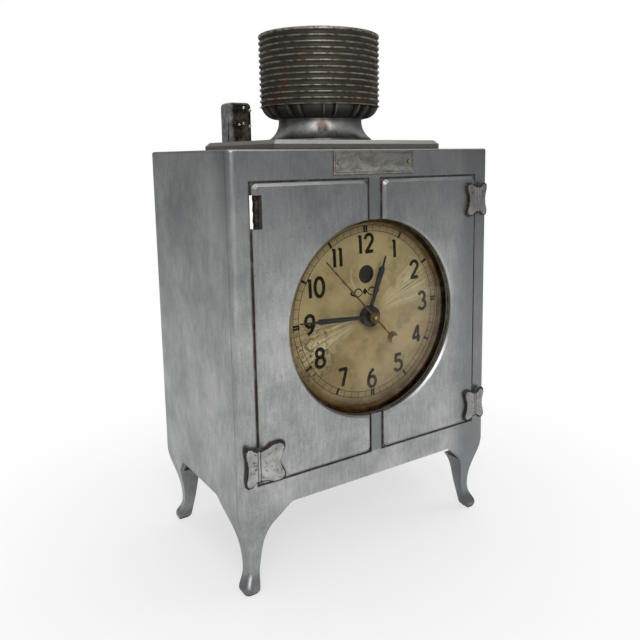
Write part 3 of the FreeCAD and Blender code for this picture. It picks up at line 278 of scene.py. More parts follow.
def front_tarnish(s, x, y, z, cloud):
    """Painted shade on the front: darker towards its top and its right, and on the strip between
    the doors.
    """
    high = s.product(s.range(z, 0.105, 0.165), 0.62)
    right = s.product(s.range(x, 0.036, 0.052), 0.85)
    strip = s.fall(s.math("ABSOLUTE", x), DOOR_INNER - 0.6 * MM, DOOR_INNER - 0.1 * MM)
    strip = s.product(strip, s.within(z, DOOR_LOW, DOOR_HIGH, 0.0, 1.0 * MM), 0.86)
    most = s.most(high, right, strip)
    front_half = s.range(y, -0.020, -0.035)
    return s.product(most, front_half, s.range(cloud, 0.30, 0.62, 0.75, 1.0))


def room_walls(s, x, y, z):
    """One on the unpolished walls inside the case."""
    wall = CASE_HIGH.x - 2.0 * MM
    return s.product(s.fall(s.math("ABSOLUTE", x), wall, wall + 0.05 * MM),
                     s.range(y, CASE_LOW.y + 3.2 * MM, CASE_LOW.y + 3.4 * MM),
                     s.within(z, ROOM_LOW, ROOM_HIGH, -0.3 * MM, 0.0))


def marked_metal(s, clean, pits, blotch, x, y, z):
    """Metal with specks, pits, a dark left edge and stained feet, and how stained those are."""
    speck = s.noise(2100, 2, 0.5)
    marked = s.over(clean, (0.16, 0.155, 0.15), s.range(speck, 0.56, 0.70), 0.42)
    marked = s.over(marked, (0.10, 0.09, 0.075), pits, 0.85)
    foot = s.product(s.fall(z, 3 * MM, 9 * MM), s.range(blotch, 0.35, 0.6))
    marked = s.over(marked, (0.17, 0.165, 0.175), foot, 0.70)
    bend = s.product(s.line(y, CASE_LOW.y + 4.3 * MM, 0.10 * MM, 0.42 * MM),
                     s.fall(x, CASE_LOW.x + 0.5 * MM, CASE_LOW.x + 1.5 * MM),
                     s.range(blotch, 0.3, 0.5))
    return s.over(marked, (0.11, 0.105, 0.10), bend, 0.55), foot


def cast_metal():
    """Half-polished bare casting: cloudy, pitted, with brown dirt and painted shade in its grooves
    and crevices, and painted shade on its front.
    """
    s = Shade("cast_metal")
    x, y, z = s.parts(s.place)
    cloud = s.noise(19, 5, 0.6)
    blotch = s.noise(85, 4, 0.65)
    grain = s.noise(900, 3, 0.6, (1, 1, 0.16))
    tone = s.total(s.product(cloud, 0.50), s.product(blotch, 0.29), s.product(grain, 0.21))
    clean = s.tones(tone, 0.36, 0.64, (0.315, 0.330, 0.335), (0.61, 0.618, 0.605))
    # painted shade: the front goes a cool dark grey towards its top, its right and between the
    # doors
    clean = s.mix(front_tarnish(s, x, y, z, cloud), clean, (0.205, 0.222, 0.232))
    plinth = s.product(s.range(z, CASE_HIGH.z - 4.6 * MM, CASE_HIGH.z - 4.0 * MM), 0.85)
    clean = s.mix(plinth, clean, (0.300, 0.288, 0.258))
    pits = s.product(s.fall(s.cells(340, (1, 1, 0.8)), 0.02, 0.11),
                     s.range(s.noise(60, 2), 0.50, 0.62))
    marked, foot = marked_metal(s, clean, pits, blotch, x, y, z)
    # dirt and painted shade: brown where other surfaces stand close
    crevice_dirt_and_shade = s.product(s.crevice(1.5 * MM), s.range(s.noise(240, 3), 0.30, 0.55, 0.55, 1.0))
    # brown polish and painted shade along the door grooves
    seam_dirt_and_shade = s.product(door_seams(s, x, y, z), s.range(s.noise(150, 4), 0.32, 0.55, 0.62, 1.0))
    dirt_and_shade = s.most(crevice_dirt_and_shade, seam_dirt_and_shade)
    inside = room_walls(s, x, y, z)
    raw = s.mix(blotch, (0.17, 0.165, 0.155), (0.30, 0.295, 0.28))
    rough = s.total(0.24, s.product(cloud, 0.16), s.product(grain, 0.14), s.product(dirt_and_shade, 0.4),
                    s.product(inside, 0.25), s.product(foot, 0.22))
    swell = s.bump(s.noise(34, 2, 0.4), 0.9 * MM, 0.45)
    scratched = s.bump(grain, 0.02 * MM, 0.6, swell)
    sunk = s.bump(s.math("SUBTRACT", 1.0, pits), 0.10 * MM, 0.7, scratched)
    cast = s.bump(s.product(inside, s.noise(420, 4, 0.6)), 0.35 * MM, 0.8, sunk)
    return s.done(Base_Color=s.mix(inside, s.mix(dirt_and_shade, marked, DIRT_AND_SHADE_BROWN), raw),
                  Metallic=s.range(dirt_and_shade, 0.0, 1.0, 0.94, 0.25), Roughness=rough, Normal=cast)


def hinge_metal():
    """The same metal as small stamped trim, warmer, with painted shade on its side faces and on
    the hinges at the right, and dirt with painted shade in its crevices.
    """
    s = Shade("hinge_metal")
    facing = s.math("ABSOLUTE", s.parts(s.facing)[1])
    # painted shade: faces turned away from the front are darkened
    edge = s.fall(facing, 0.30, 0.92)
    blotch = s.noise(310, 4, 0.6)
    face = s.tones(blotch, 0.35, 0.65, (0.36, 0.365, 0.36), (0.57, 0.57, 0.555))
    # painted shade: the hinges on the clock's right are darker, as the front is there
    right = s.range(s.parts(s.place)[0], 0.0, 10 * MM)
    face = s.over(face, (0.23, 0.235, 0.235), right, 0.55)
    spots = s.range(s.noise(900, 2), 0.60, 0.70)
    marked = s.over(face, (0.12, 0.10, 0.08), spots, 0.75)
    # dirt and painted shade: side faces and crevices go brown
    dirt_and_shade = s.most(s.product(edge, 0.86), s.crevice(0.9 * MM))
    return s.done(Base_Color=s.mix(dirt_and_shade, marked, DIRT_AND_SHADE_BROWN),
                  Metallic=s.range(dirt_and_shade, 0.0, 1.0, 0.93, 0.3),
                  Roughness=s.total(0.30, s.product(blotch, 0.18), s.product(dirt_and_shade, 0.3)),
                  Normal=s.bump(blotch, 0.05 * MM, 0.6))


def grime():
    """Brown-black dirt and old solder packed round the hinges, standing in too for their painted
    shadow.
    """
    s = Shade("grime")
    lumps = s.noise(700, 4, 0.65)
    colour = s.tones(lumps, 0.40, 0.68, (0.014, 0.010, 0.007), (0.080, 0.056, 0.033))
    return s.done(Base_Color=colour, Metallic=0.15, Roughness=s.range(lumps, 0.3, 0.7, 0.55, 0.8),
                  Normal=s.bump(lumps, 0.12 * MM, 0.8))


def plate_metal():
    """Worn name plate: rubbed high, brown in the low parts from dirt and painted shade."""
    s = Shade("plate_metal")
    wear = s.noise(260, 5, 0.7, (0.6, 1, 1.4))
    # dirt and painted shade where other surfaces stand close
    dirt_and_shade = s.crevice(0.6 * MM)
    colour = s.tones(wear, 0.38, 0.62, (0.215, 0.205, 0.180), (0.385, 0.375, 0.340))
    return s.done(Base_Color=s.mix(dirt_and_shade, colour, (0.07, 0.055, 0.035)), Metallic=0.85,
                  Roughness=s.range(wear, 0.3, 0.7, 0.52, 0.36),
                  Normal=s.bump(wear, 0.08 * MM, 0.8))


def drum_metal():
    """Dark tarnish in the valleys, rubbed bright on the crests."""
    s = Shade("drum_metal")
    radius, _ = s.polar(DRUM_MIDDLE, "z")
    widest = (DRUM_HIGH.x - DRUM_LOW.x) / 2
    crest = s.range(radius, widest - 0.46 * MM, widest - 0.04 * MM)
    z = s.parts(s.place)[2]
    crest = s.product(crest, s.fall(z, DRUM_HIGH.z - 0.5 * MM, DRUM_HIGH.z - 0.2 * MM))
    patch = s.noise(120, 4, 0.6)
    rust = s.range(s.noise(75, 3, 0.6), 0.50, 0.66)
    dark = s.mix(patch, (0.022, 0.019, 0.014), (0.090, 0.077, 0.058))
    dark = s.over(dark, (0.105, 0.055, 0.030), rust, 0.55)
    rubbed = s.tones(s.noise(420, 3), 0.35, 0.6, (0.14, 0.125, 0.10), (0.46, 0.435, 0.37))
    return s.done(Base_Color=s.mix(crest, dark, rubbed), Metallic=0.78,
                  Roughness=s.range(crest, 0.0, 1.0, 0.56, 0.34),
                  Normal=s.bump(s.noise(700, 3), 0.06 * MM, 0.7))


def bowl_metal():
    """Blackened bowl with thin fins rubbed bright on their edges."""
    s = Shade("bowl_metal")
    radius, _ = s.polar(DRUM_MIDDLE, "z")
    patch = s.noise(260, 4, 0.6)
    dark = s.mix(patch, (0.018, 0.016, 0.014), (0.070, 0.062, 0.050))
    side = s.math("SUBTRACT", 1.0, s.crevice(1.2 * MM))
    bright = s.product(side, s.range(radius, 21.0 * MM, 24.5 * MM), 0.30)
    return s.done(Base_Color=s.mix(bright, dark, (0.40, 0.38, 0.33)), Metallic=0.7,
                  Roughness=s.range(patch, 0.3, 0.7, 0.42, 0.60),
                  Normal=s.bump(patch, 0.05 * MM, 0.6))


def neck_chrome():
    """Polished flare gone grey, with dark specks, a painted dark reflection on its front, and
    darker at both ends from dirt and painted shade.
    """
    s = Shade("neck_chrome")
    low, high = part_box("neck_collar")
    haze = s.noise(120, 4, 0.6)
    specks = s.range(s.noise(1300, 2), 0.60, 0.68)
    colour = s.tones(haze, 0.35, 0.65, (0.34, 0.335, 0.325), (0.53, 0.53, 0.52))
    colour = s.over(colour, (0.14, 0.12, 0.10), specks, 0.5)
    # painted reflection: a dark red-brown patch where the key light's reflection falls, leaving
    # bright reflection either side
    spot = s.near((-9.4 * MM, DRUM_MIDDLE.y - 16.6 * MM, low.z + 5.6 * MM), 4.4 * MM)
    spot = s.product(spot, s.range(s.noise(300, 4), 0.30, 0.55, 0.45, 1.0))
    colour = s.over(colour, (0.052, 0.024, 0.017), spot, 0.92)
    z = s.parts(s.place)[2]
    # painted shade: darker at its foot on the plinth and under the bowl, joined to the dirt and
    # painted shade in its crevices
    foot = s.fall(z, low.z + 1.0 * MM, low.z + 2.2 * MM)
    under = s.range(z, high.z - 2.4 * MM, high.z - 0.6 * MM)
    dirt_and_shade = s.most(s.crevice(1.2 * MM), s.product(foot, 0.55), s.product(under, 0.7))
    return s.done(Base_Color=s.mix(dirt_and_shade, colour, (0.075, 0.062, 0.050)), Metallic=1.0,
                  Roughness=s.range(haze, 0.3, 0.75, 0.26, 0.44),
                  Normal=s.bump(s.noise(60, 2), 0.35 * MM, 0.5))


def bakelite():
    """Black-brown moulding, dulled in places."""
    s = Shade("bakelite")
    mottle = s.noise(180, 5, 0.65)
    colour = s.tones(mottle, 0.4, 0.65, (0.012, 0.010, 0.009), (0.050, 0.038, 0.028))
    return s.done(Base_Color=colour, Roughness=s.range(mottle, 0.3, 0.7, 0.26, 0.45),
                  Coat_Weight=0.15, Normal=s.bump(s.noise(1100, 2), 0.015 * MM, 0.6))


def control_metal():
    """The control box: blackened front and top, its left side painted a lighter grey as if lit."""
    s = Shade("control_metal")
    # painted light: faces turned to the left are given a lighter grey
    left = s.fall(s.parts(s.facing)[0], -0.9, -0.35)
    patch = s.noise(330, 5, 0.65)
    dark = s.tones(patch, 0.35, 0.65, (0.016, 0.013, 0.010), (0.125, 0.105, 0.080))
    grey = s.tones(patch, 0.35, 0.65, (0.20, 0.20, 0.19), (0.44, 0.445, 0.44))
    return s.done(Base_Color=s.mix(left, dark, grey), Metallic=0.62,
                  Roughness=s.range(patch, 0.3, 0.7, 0.26, 0.48),
                  Normal=s.bump(patch, 0.28 * MM, 0.8))


def rim_film(s):
    """How much dust hides the glass near its rim, and how low round the dial a point is."""
    radius, angle = s.polar(HANDS_AXIS, "y")
    lower = s.range(s.math("ABSOLUTE", angle), math.radians(95), math.radians(160))
    film = s.product(s.range(radius, 38.0 * MM, 41.0 * MM), s.range(s.noise(130, 4), 0.35, 0.7),
                     0.36)
    caked = s.product(s.range(radius, 37.4 * MM, 40.4 * MM), s.range(s.noise(90, 4), 0.30, 0.62),
                      lower, 0.80)
    return s.most(film, caked), lower


def crystal_glass():
    """Clear domed glass: what it doesn't mirror it lets through, with a dusty rim."""
    s = Shade("crystal_glass")
    film, lower = rim_film(s)
    clear = s.node("ShaderNodeBsdfTransparent")
    clear.inputs["Color"].default_value = (0.95, 0.96, 0.93, 1.0)
    gloss = s.node("ShaderNodeBsdfGlossy")
    gloss.inputs["Roughness"].default_value = 0.04
    dust = s.node("ShaderNodeBsdfDiffuse")
    tan = s.mix(s.noise(160, 4), (0.095, 0.055, 0.022), (0.32, 0.215, 0.105))
    s.feed(dust.inputs["Color"], s.mix(lower, tan, (0.115, 0.050, 0.017)))
    fresnel = s.node("ShaderNodeFresnel")
    fresnel.inputs["IOR"].default_value = 1.46
    shiny = s.blend(s.product(fresnel.outputs[0], 0.07), clear, gloss)
    s.show(s.blend(film, shiny, dust))
    s.tree.nodes.remove(s.surface)
    return s.material


def dial_fans(s, turn, radius, rays):
    """The painted sheen of the brushing: two pale fans of painted highlight either side of the
    hub, and darker brown between their rays.
    """
    def fan(middle, half):
        return s.line(turn, middle, 0.25 * half, half)
    pale = s.most(s.product(fan(66.0, 26.0), 0.85), fan(-106.0, 30.0))
    pale = s.product(pale, s.range(rays, 0.38, 0.62), s.range(radius, 3 * MM, 16 * MM, 0.4, 1.0),
                     s.range(radius, 24 * MM, 36 * MM, 1.0, 0.35))
    brown = s.product(s.most(fan(72.0, 34.0), s.product(fan(-100.0, 40.0), 0.8)),
                      s.fall(rays, 0.36, 0.50))
    return pale, brown


def dial_stains(s, aged, turn):
    """Brown patches, a flaked place at the lower left and a pale arc round the window."""
    stains = s.product(s.range(s.noise(95, 5, 0.7), 0.52, 0.64), 0.50)
    aged = s.mix(stains, aged, (0.200, 0.150, 0.075))
    lower_left = HANDS_AXIS + Vector((-28.5, 0, -12.5)) * MM
    flecks = s.product(s.near(lower_left, 19 * MM), s.range(s.noise(620, 4, 0.7), 0.51, 0.60))
    aged = s.over(aged, (0.070, 0.045, 0.020), flecks, 0.88)
    window = HANDS_AXIS + Vector((0, 0, 17.5)) * MM
    away = s.vector("DISTANCE", s.place, tuple(window), "Value")
    ring = s.product(s.line(away, 8.6 * MM, 0.1 * MM, 0.7 * MM),
                     s.fall(turn, -28.0, -12.0))
    return s.over(aged, (0.62, 0.58, 0.42), ring, 0.35)


def dial_paint():
    """Aged ivory lacquer over brushed metal: two pale fans of painted highlight, brown margin,
    stains.
    """
    s = Shade("dial_paint")
    radius, angle = s.polar(HANDS_AXIS, "y")
    turn = s.math("MULTIPLY", angle, 180.0 / math.pi)
    spokes = s.node("ShaderNodeCombineXYZ")
    s.feed(spokes.inputs[0], s.product(angle, 26.0))
    s.feed(spokes.inputs[1], s.product(radius, 18.0))
    rays = s.noise(1.0, 4, 0.7, place=spokes.outputs[0])
    cloud = s.noise(55, 5, 0.6)
    base = s.tones(cloud, 0.34, 0.66, (0.275, 0.188, 0.090), (0.480, 0.352, 0.188))
    height = s.parts(s.vector("SUBTRACT", s.place, tuple(HANDS_AXIS)))[2]
    upper = s.range(height, -6 * MM, 26 * MM)
    base = s.over(base, (0.46, 0.368, 0.205), upper, 0.42)
    # painted sheen: the brushing's bright fans of painted highlight, and the darker rays between
    # them
    pale, brown = dial_fans(s, turn, radius, rays)
    base = s.over(base, (0.185, 0.115, 0.050), brown, 0.45)
    with_painted_sheen = s.over(base, (0.84, 0.725, 0.490), pale, 0.75)
    margin = s.product(s.range(radius, 33.5 * MM, 39.0 * MM), s.range(cloud, 0.30, 0.55, .5, 1.0))
    aged = s.over(with_painted_sheen, (0.190, 0.120, 0.055), margin, 0.62)
    bottom = s.product(s.range(s.math("ABSOLUTE", turn), 118.0, 165.0),
                       s.range(radius, 34.5 * MM, 38.0 * MM),
                       s.range(s.noise(210, 4, 0.6), 0.36, 0.56, 0.4, 1.0))
    aged = s.over(aged, (0.105, 0.050, 0.020), bottom, 0.75)
    return s.done(Base_Color=dial_stains(s, aged, turn), Metallic=0.15, Specular_IOR_Level=0.4,
                  Roughness=s.range(rays, 0.3, 0.7, 0.34, 0.50),
                  Normal=s.bump(s.total(rays, s.product(cloud, 0.6)), 0.05 * MM, 0.35))


def ink():
    """Printed numerals, rubbed thin in places."""
    s = Shade("ink")
    wear = s.noise(520, 4, 0.65)
    colour = s.tones(wear, 0.60, 0.78, (0.011, 0.010, 0.008), (0.062, 0.048, 0.028))
    return s.done(Base_Color=colour, Roughness=s.range(wear, 0.3, 0.7, 0.60, 0.80),
                  Specular_IOR_Level=0.15)


def lacquer(name="hand_lacquer"):
    """Black hand lacquer with fine dust."""
    s = Shade(name)
    dust = s.range(s.noise(1500, 3), 0.55, 0.72)
    return s.done(Base_Color=s.over((0.012, 0.012, 0.012), (0.075, 0.070, 0.060), dust, 0.4),
                  Roughness=s.range(dust, 0.0, 1.0, 0.30, 0.55), Specular_IOR_Level=0.45)


def worn_metal(name, low, high, rough, scale):
    """Turned or stamped metal between two colours, with fine turning marks, darker from dirt and
    painted shade where other surfaces stand close.
    """
    s = Shade(name)
    patch = s.noise(scale, 4, 0.6)
    marks = s.noise(scale * 9, 2, 0.5, (1, 0.12, 1))
    # dirt and painted shade where other surfaces stand close
    dirt_and_shade = s.crevice(0.7 * MM)
    colour = s.tones(patch, 0.35, 0.65, low, high)
    return s.done(Base_Color=s.over(colour, tuple(0.22 * c for c in low), dirt_and_shade, 0.8),
                  Metallic=1.0, Roughness=s.range(marks, 0.3, 0.7, rough, rough + 0.14),
                  Normal=s.bump(marks, 0.02 * MM, 0.5))


def housing_finish():
    """Grey enamel on drawn sheet: a light orange peel, chipped to metal near its holes."""
    s = Shade("housing_finish")
    peel = s.noise(650, 3, 0.5)
    stain = s.noise(70, 4, 0.6)
    chips = s.product(s.crevice(0.8 * MM), s.range(s.noise(800, 3), 0.48, 0.58))
    colour = s.tones(stain, 0.35, 0.65, (0.125, 0.125, 0.118), (0.215, 0.213, 0.200))
    return s.done(Base_Color=s.mix(chips, colour, (0.36, 0.33, 0.28)), Metallic=0.25,
                  Roughness=s.range(stain, 0.3, 0.7, 0.38, 0.55),
                  Normal=s.bump(peel, 0.03 * MM, 0.6))


def laminations():
    """Oiled core plates, seen as fine lines through the stack."""
    s = Shade("laminations")
    sheets = s.wave(880, "Y", 0.4)
    stain = s.noise(200, 3)
    return s.done(Base_Color=s.mix(sheets, (0.045, 0.045, 0.050), (0.21, 0.21, 0.22)),
                  Metallic=0.9, Roughness=s.range(stain, 0.3, 0.7, 0.34, 0.52),
                  Normal=s.bump(sheets, 0.06 * MM, 0.8))


def winding_tape():
    """Varnished cloth tape wound over the coil."""
    s = Shade("winding_tape")
    turns = s.wave(190, "X", 0.8)
    weave = s.product(s.wave(1500, "X"), s.wave(1500, "Z"))
    return s.done(Base_Color=s.mix(turns, (0.120, 0.048, 0.022), (0.300, 0.140, 0.065)),
                  Roughness=0.55, Coat_Weight=0.25,
                  Normal=s.bump(s.total(turns, s.product(weave, 0.4)), 0.18 * MM, 0.8))


def phenolic():
    """Brown paper laminate with a faint weave."""
    s = Shade("phenolic")
    weave = s.product(s.wave(820, "X", 0.5), s.wave(820, "Z", 0.5))
    tone = s.noise(140, 3)
    return s.done(Base_Color=s.mix(s.total(s.product(tone, 0.7), s.product(weave, 0.3)),
                                   (0.070, 0.030, 0.012), (0.215, 0.105, 0.048)),
                  Roughness=s.range(tone, 0.3, 0.7, 0.38, 0.55),
                  Normal=s.bump(weave, 0.03 * MM, 0.5))


def rubber():
    """Hardened rubber, dusty on its faces."""
    s = Shade("rubber")
    dust = s.range(s.noise(260, 5, 0.65), 0.45, 0.70)
    return s.done(Base_Color=s.over((0.012, 0.012, 0.012), (0.085, 0.080, 0.072), dust, 0.6),
                  Roughness=s.range(dust, 0.0, 1.0, 0.58, 0.82),
                  Normal=s.bump(s.noise(1400, 3), 0.03 * MM, 0.7))


def lead_cloth():
    """Braided cotton over the leads."""
    s = Shade("lead_cloth")
    braid = s.product(s.wave(900, "DIAGONAL", 0.2), s.wave(900, "Z", 0.2))
    return s.done(Base_Color=s.mix(braid, (0.115, 0.080, 0.038), (0.360, 0.275, 0.150)),
                  Roughness=0.86, Sheen_Weight=0.3, Normal=s.bump(braid, 0.10 * MM, 0.9))


MATERIALS = {
    "case_metal": cast_metal(),
    "hinge_metal": hinge_metal(),
    "plate_metal": plate_metal(),
    "drum_metal": drum_metal(),
    "neck_chrome": neck_chrome(),
    "bakelite": bakelite(),
    "glass": crystal_glass(),
    "dial_paint": dial_paint(),
    "hand_black": lacquer(),
    "housing_steel": housing_finish(),
    "lamination": laminations(),
    "winding": winding_tape(),
    "phenolic": phenolic(),
    "rubber": rubber(),
    "lead_cloth": lead_cloth(),
    "shutter_black": lacquer("shutter_black"),
}
# dark and light colour, least roughness and scale of the patches
for metal, look in {
    "bezel_brass": ((0.22, 0.150, 0.075), (0.46, 0.345, 0.190), 0.38, 150),
    "hand_copper": ((0.115, 0.070, 0.036), (0.270, 0.165, 0.085), 0.40, 420),
    "brass": ((0.50, 0.36, 0.13), (0.74, 0.57, 0.27), 0.26, 260),
    "steel": ((0.33, 0.33, 0.34), (0.56, 0.56, 0.57), 0.30, 260),
    "copper": ((0.42, 0.19, 0.10), (0.66, 0.35, 0.20), 0.28, 260),
}.items():
    MATERIALS[metal] = worn_metal(metal, *look)
# finer looks for pieces and nodes that share a slot with plainer ones
BOWL = bowl_metal()
CONTROL = control_metal()
INK = ink()
GRIME_AND_PAINTED_SHADOW = grime()
# near-white metal for the control box's studs: painted glints
GLINT_STEEL = worn_metal("glint_studs", (0.80, 0.79, 0.76), (0.93, 0.92, 0.90), 0.16, 260)


def dress_cad_nodes():
    """Give every carried-over CAD node its slot's material."""
    for part in frame["record"]["subparts"]:
        mesh = frame["nodes"][part["node"]].data
        mesh.materials.clear()
        mesh.materials.append(MATERIALS[part["material_slot"]])
    for name, material in (("drum_bowl", BOWL), ("control_box", CONTROL)):
        frame["nodes"][name].data.materials[0] = material


# --- mesh helpers ---

SHARP_EDGE = math.radians(32.0)


def add(name, data):
    """A new object in the scene."""
    made = bpy.data.objects.new(name, data)
    bpy.context.scene.collection.objects.link(made)
    return made


def mm(points):
    """Points given in millimetres."""
    return [(first * MM, second * MM) for first, second in points]


def piece(name, bm, body, slot, material=None, stands_for=()):
    """Turn a bmesh into a piece that rides on a body."""
    bmesh.ops.recalc_face_normals(bm, faces=bm.faces)
    mesh = bpy.data.meshes.new(name)
    bm.to_mesh(mesh)
    bm.free()
    mesh.shade_smooth()
    mesh.set_sharp_from_angle(angle=SHARP_EDGE)
    mesh.materials.append(material or MATERIALS[slot])
    made = add(name, mesh)
    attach(made, body)
    if stands_for:
        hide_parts(*stands_for)


def plate(bm, outline, near, far, bevel=0.0, segments=2):
    """A closed flat piece from (x, z) corners, with its near rim bevelled."""
    front = [bm.verts.new((x, near, z)) for x, z in outline]
    back = [bm.verts.new((x, far, z)) for x, z in outline]
    bm.faces.new(front)
    bm.faces.new(reversed(back))
    count = len(outline)
    rim = []
    for number in range(count):
        after = (number + 1) % count
        bm.faces.new((front[number], back[number], back[after], front[after]))
        rim.append(bm.edges.get((front[number], front[after])))
    if bevel:
        bmesh.ops.bevel(bm, geom=rim, offset=bevel, segments=segments, profile=0.5,
                        affect="EDGES", clamp_overlap=True)


def lathe(bm, profile, centre, segments, along="y"):
    """Spin (radius, place along the axis) points, which end on the axis or close on themselves."""
    rings = []
    for radius, place in profile:
        count = 1 if radius < 1e-7 else segments
        ring = []
        for number in range(count):
            angle = math.tau * number / count
            first, second = radius * math.sin(angle), radius * math.cos(angle)
            offset = (first, place, second) if along == "y" else (first, second, place)
            ring.append(bm.verts.new(centre + Vector(offset)))
        rings.append(ring)
    pairs = list(zip(rings, rings[1:]))
    if len(rings[0]) > 1:
        pairs.append((rings[-1], rings[0]))
    for low, high in pairs:
        for number in range(segments):
            after = (number + 1) % segments
            corners = [low[number % len(low)], low[after % len(low)],
                       high[after % len(high)], high[number % len(high)]]
            unique = list(dict.fromkeys(corners))
            if len(unique) > 2:
                bm.faces.new(unique)


def ribbon(bm, points, width, near, far, closed=False):
    """A closed stroke with a rectangular section along (x, z) points."""
    count = len(points)
    rings = []
    for number, (x, z) in enumerate(points):
        before = points[number - 1] if number or closed else points[number]
        after = points[(number + 1) % count] if number < count - 1 or closed else points[number]
        run = Vector((after[0] - before[0], after[1] - before[1])).normalized()
        side = Vector((-run.y, run.x)) * width / 2
        rings.append([bm.verts.new((x + way * side.x, depth, z + way * side.y))
                      for way, depth in ((-1, near), (1, near), (1, far), (-1, far))])
    pairs = list(zip(rings, rings[1:])) + ([(rings[-1], rings[0])] if closed else [])
    for first, second in pairs:
        for number in range(4):
            after = (number + 1) % 4
            bm.faces.new((first[number], first[after], second[after], second[number]))
    if not closed:
        bm.faces.new(rings[0])
        bm.faces.new(reversed(rings[-1]))


def arc(x, z, wide, high, start, end, steps):
    """Points on an oval arc between two angles, in degrees from +X towards +Z."""
    angles = [math.radians(start + (end - start) * step / steps) for step in range(steps + 1)]
    return [(x + wide * math.cos(angle), z + high * math.sin(angle)) for angle in angles]


# --- dial print ---

# the print stands this far off the dial, and starts just off it
INK_LIFT, INK_GAP = 0.04 * MM, 0.005 * MM
FINE_LIFT = 0.8 * INK_LIFT
# each stroke of a digit stands this much higher than the last, so crossing faces never meet
STROKE_STEP = 0.004 * MM
# the print is turned a little, in degrees, and off the hands' axis, as in the photograph
PRINT_TILT = -2.5
PRINT_CENTRE = HANDS_AXIS + Vector((1.2, 0.0, 1.2)) * MM
NUMERAL_HIGH = 7.6 * MM
NUMERAL_STROKE = 1.48 * MM
NUMERAL_RING = 29.1 * MM
TRACK_IN, TRACK_OUT, TRACK_LINE = 34.3 * MM, 36.8 * MM, 0.22 * MM
# widths of a minute's bar, a five minutes' bar and a quarter's two, and the extra reach inwards
MINUTE_BAR, FIVE_BAR, QUARTER_BAR, LONG_BAR = 0.18 * MM, 1.0 * MM, 0.95 * MM, 0.35 * MM
# how many degrees a quarter's bars stand to either side of it
QUARTER_ASIDE = 0.9

# each digit's width and its strokes, in a cell one high
SIX = [arc(0.27, 0.30, 0.25, 0.30, 0, 360, 24)[:-1], arc(0.52, 0.34, 0.50, 0.66, 183, 100, 10)]
DIGITS = {
    "0": (0.54, [arc(0.27, 0.5, 0.27, 0.5, 0, 360, 28)[:-1]]),
    "1": (0.14, [[(0.10, 0.0), (0.10, 1.0)], [(0.10, 0.98), (0.0, 0.88)]]),
    "2": (0.54, [arc(0.27, 0.73, 0.25, 0.27, 175, -30, 12) + [(0.04, 0.03)],
                 [(0.0, 0.05), (0.54, 0.05)]]),
    "3": (0.54, [arc(0.25, 0.75, 0.23, 0.25, 155, -85, 12),
                 arc(0.25, 0.26, 0.27, 0.26, 88, -158, 14)]),
    "4": (0.58, [[(0.42, 0.0), (0.42, 1.0)], [(0.42, 0.97), (0.02, 0.28)],
                 [(0.0, 0.28), (0.58, 0.28)]]),
    "5": (0.52, [[(0.48, 0.95), (0.08, 0.95)], [(0.12, 1.0), (0.06, 0.54)],
                 [(0.04, 0.52)] + arc(0.23, 0.30, 0.28, 0.30, 105, -155, 14)]),
    "6": (0.54, SIX),
    "7": (0.54, [[(0.0, 0.95), (0.54, 0.95)], [(0.50, 0.97), (0.20, 0.0)]]),
    "8": (0.54, [arc(0.27, 0.76, 0.22, 0.24, 0, 360, 22)[:-1],
                 arc(0.27, 0.27, 0.27, 0.27, 0, 360, 24)[:-1]]),
    "9": (0.54, [[(0.54 - x, 1.0 - z) for x, z in stroke] for stroke in SIX]),
}
# strokes that are loops
CLOSED_STROKES = {"0": (0,), "6": (0,), "8": (0, 1), "9": (0,)}
DIGIT_GAP = 0.26


def clock_place(radius, degrees):
    """A printed (x, z) point at a clock angle, in degrees clockwise from twelve."""
    angle = math.radians(degrees + PRINT_TILT)
    return (PRINT_CENTRE.x + radius * math.sin(angle), PRINT_CENTRE.z + radius * math.cos(angle))


def numeral_points(stroke, left, middle):
    """A stroke's points on the dial, upright with the slightly tilted print."""
    tilt = math.radians(-PRINT_TILT)
    points = []
    for x, z in stroke:
        across, up = (left + x) * NUMERAL_HIGH, (z - 0.5) * NUMERAL_HIGH
        points.append((middle[0] + across * math.cos(tilt) - up * math.sin(tilt),
                       middle[1] + across * math.sin(tilt) + up * math.cos(tilt)))
    return points


def numerals():
    """The numbers 1 to 12."""
    bm = bmesh.new()
    near, far = DIAL_FRONT - INK_LIFT, DIAL_FRONT - INK_GAP
    for hour in range(1, 13):
        text = str(hour)
        wide = sum(DIGITS[digit][0] for digit in text) + DIGIT_GAP * (len(text) - 1)
        middle = clock_place(NUMERAL_RING, 30 * hour)
        left = -wide / 2
        for digit in text:
            width, strokes = DIGITS[digit]
            for number, stroke in enumerate(strokes):
                ribbon(bm, numeral_points(stroke, left, middle), NUMERAL_STROKE,
                       near - STROKE_STEP * number, far,
                       closed=number in CLOSED_STROKES.get(digit, ()))
            left += width + DIGIT_GAP
    piece("dial_numerals", bm, "case", "hand_black", INK)


def minute_track():
    """Two circles with a bar at each minute, heavy at five minutes and double at quarters."""
    bm = bmesh.new()
    near, far = DIAL_FRONT - FINE_LIFT, DIAL_FRONT - INK_GAP
    for radius in (TRACK_IN, TRACK_OUT):
        circle = [clock_place(radius, 2.5 * step) for step in range(144)]
        ribbon(bm, circle, TRACK_LINE, near, far, closed=True)
    for minute in range(60):
        spot = 6 * minute
        reach = LONG_BAR if minute % 5 == 0 else 0.0
        if minute % 15 == 0:
            bars = [(spot - QUARTER_ASIDE, QUARTER_BAR), (spot + QUARTER_ASIDE, QUARTER_BAR)]
        else:
            bars = [(spot, MINUTE_BAR if minute % 5 else FIVE_BAR)]
        for degrees, width in bars:
            ends = [clock_place(TRACK_IN - reach, degrees), clock_place(TRACK_OUT, degrees)]
            ribbon(bm, ends, width, near, far)
    piece("dial_minute_track", bm, "case", "hand_black", INK)


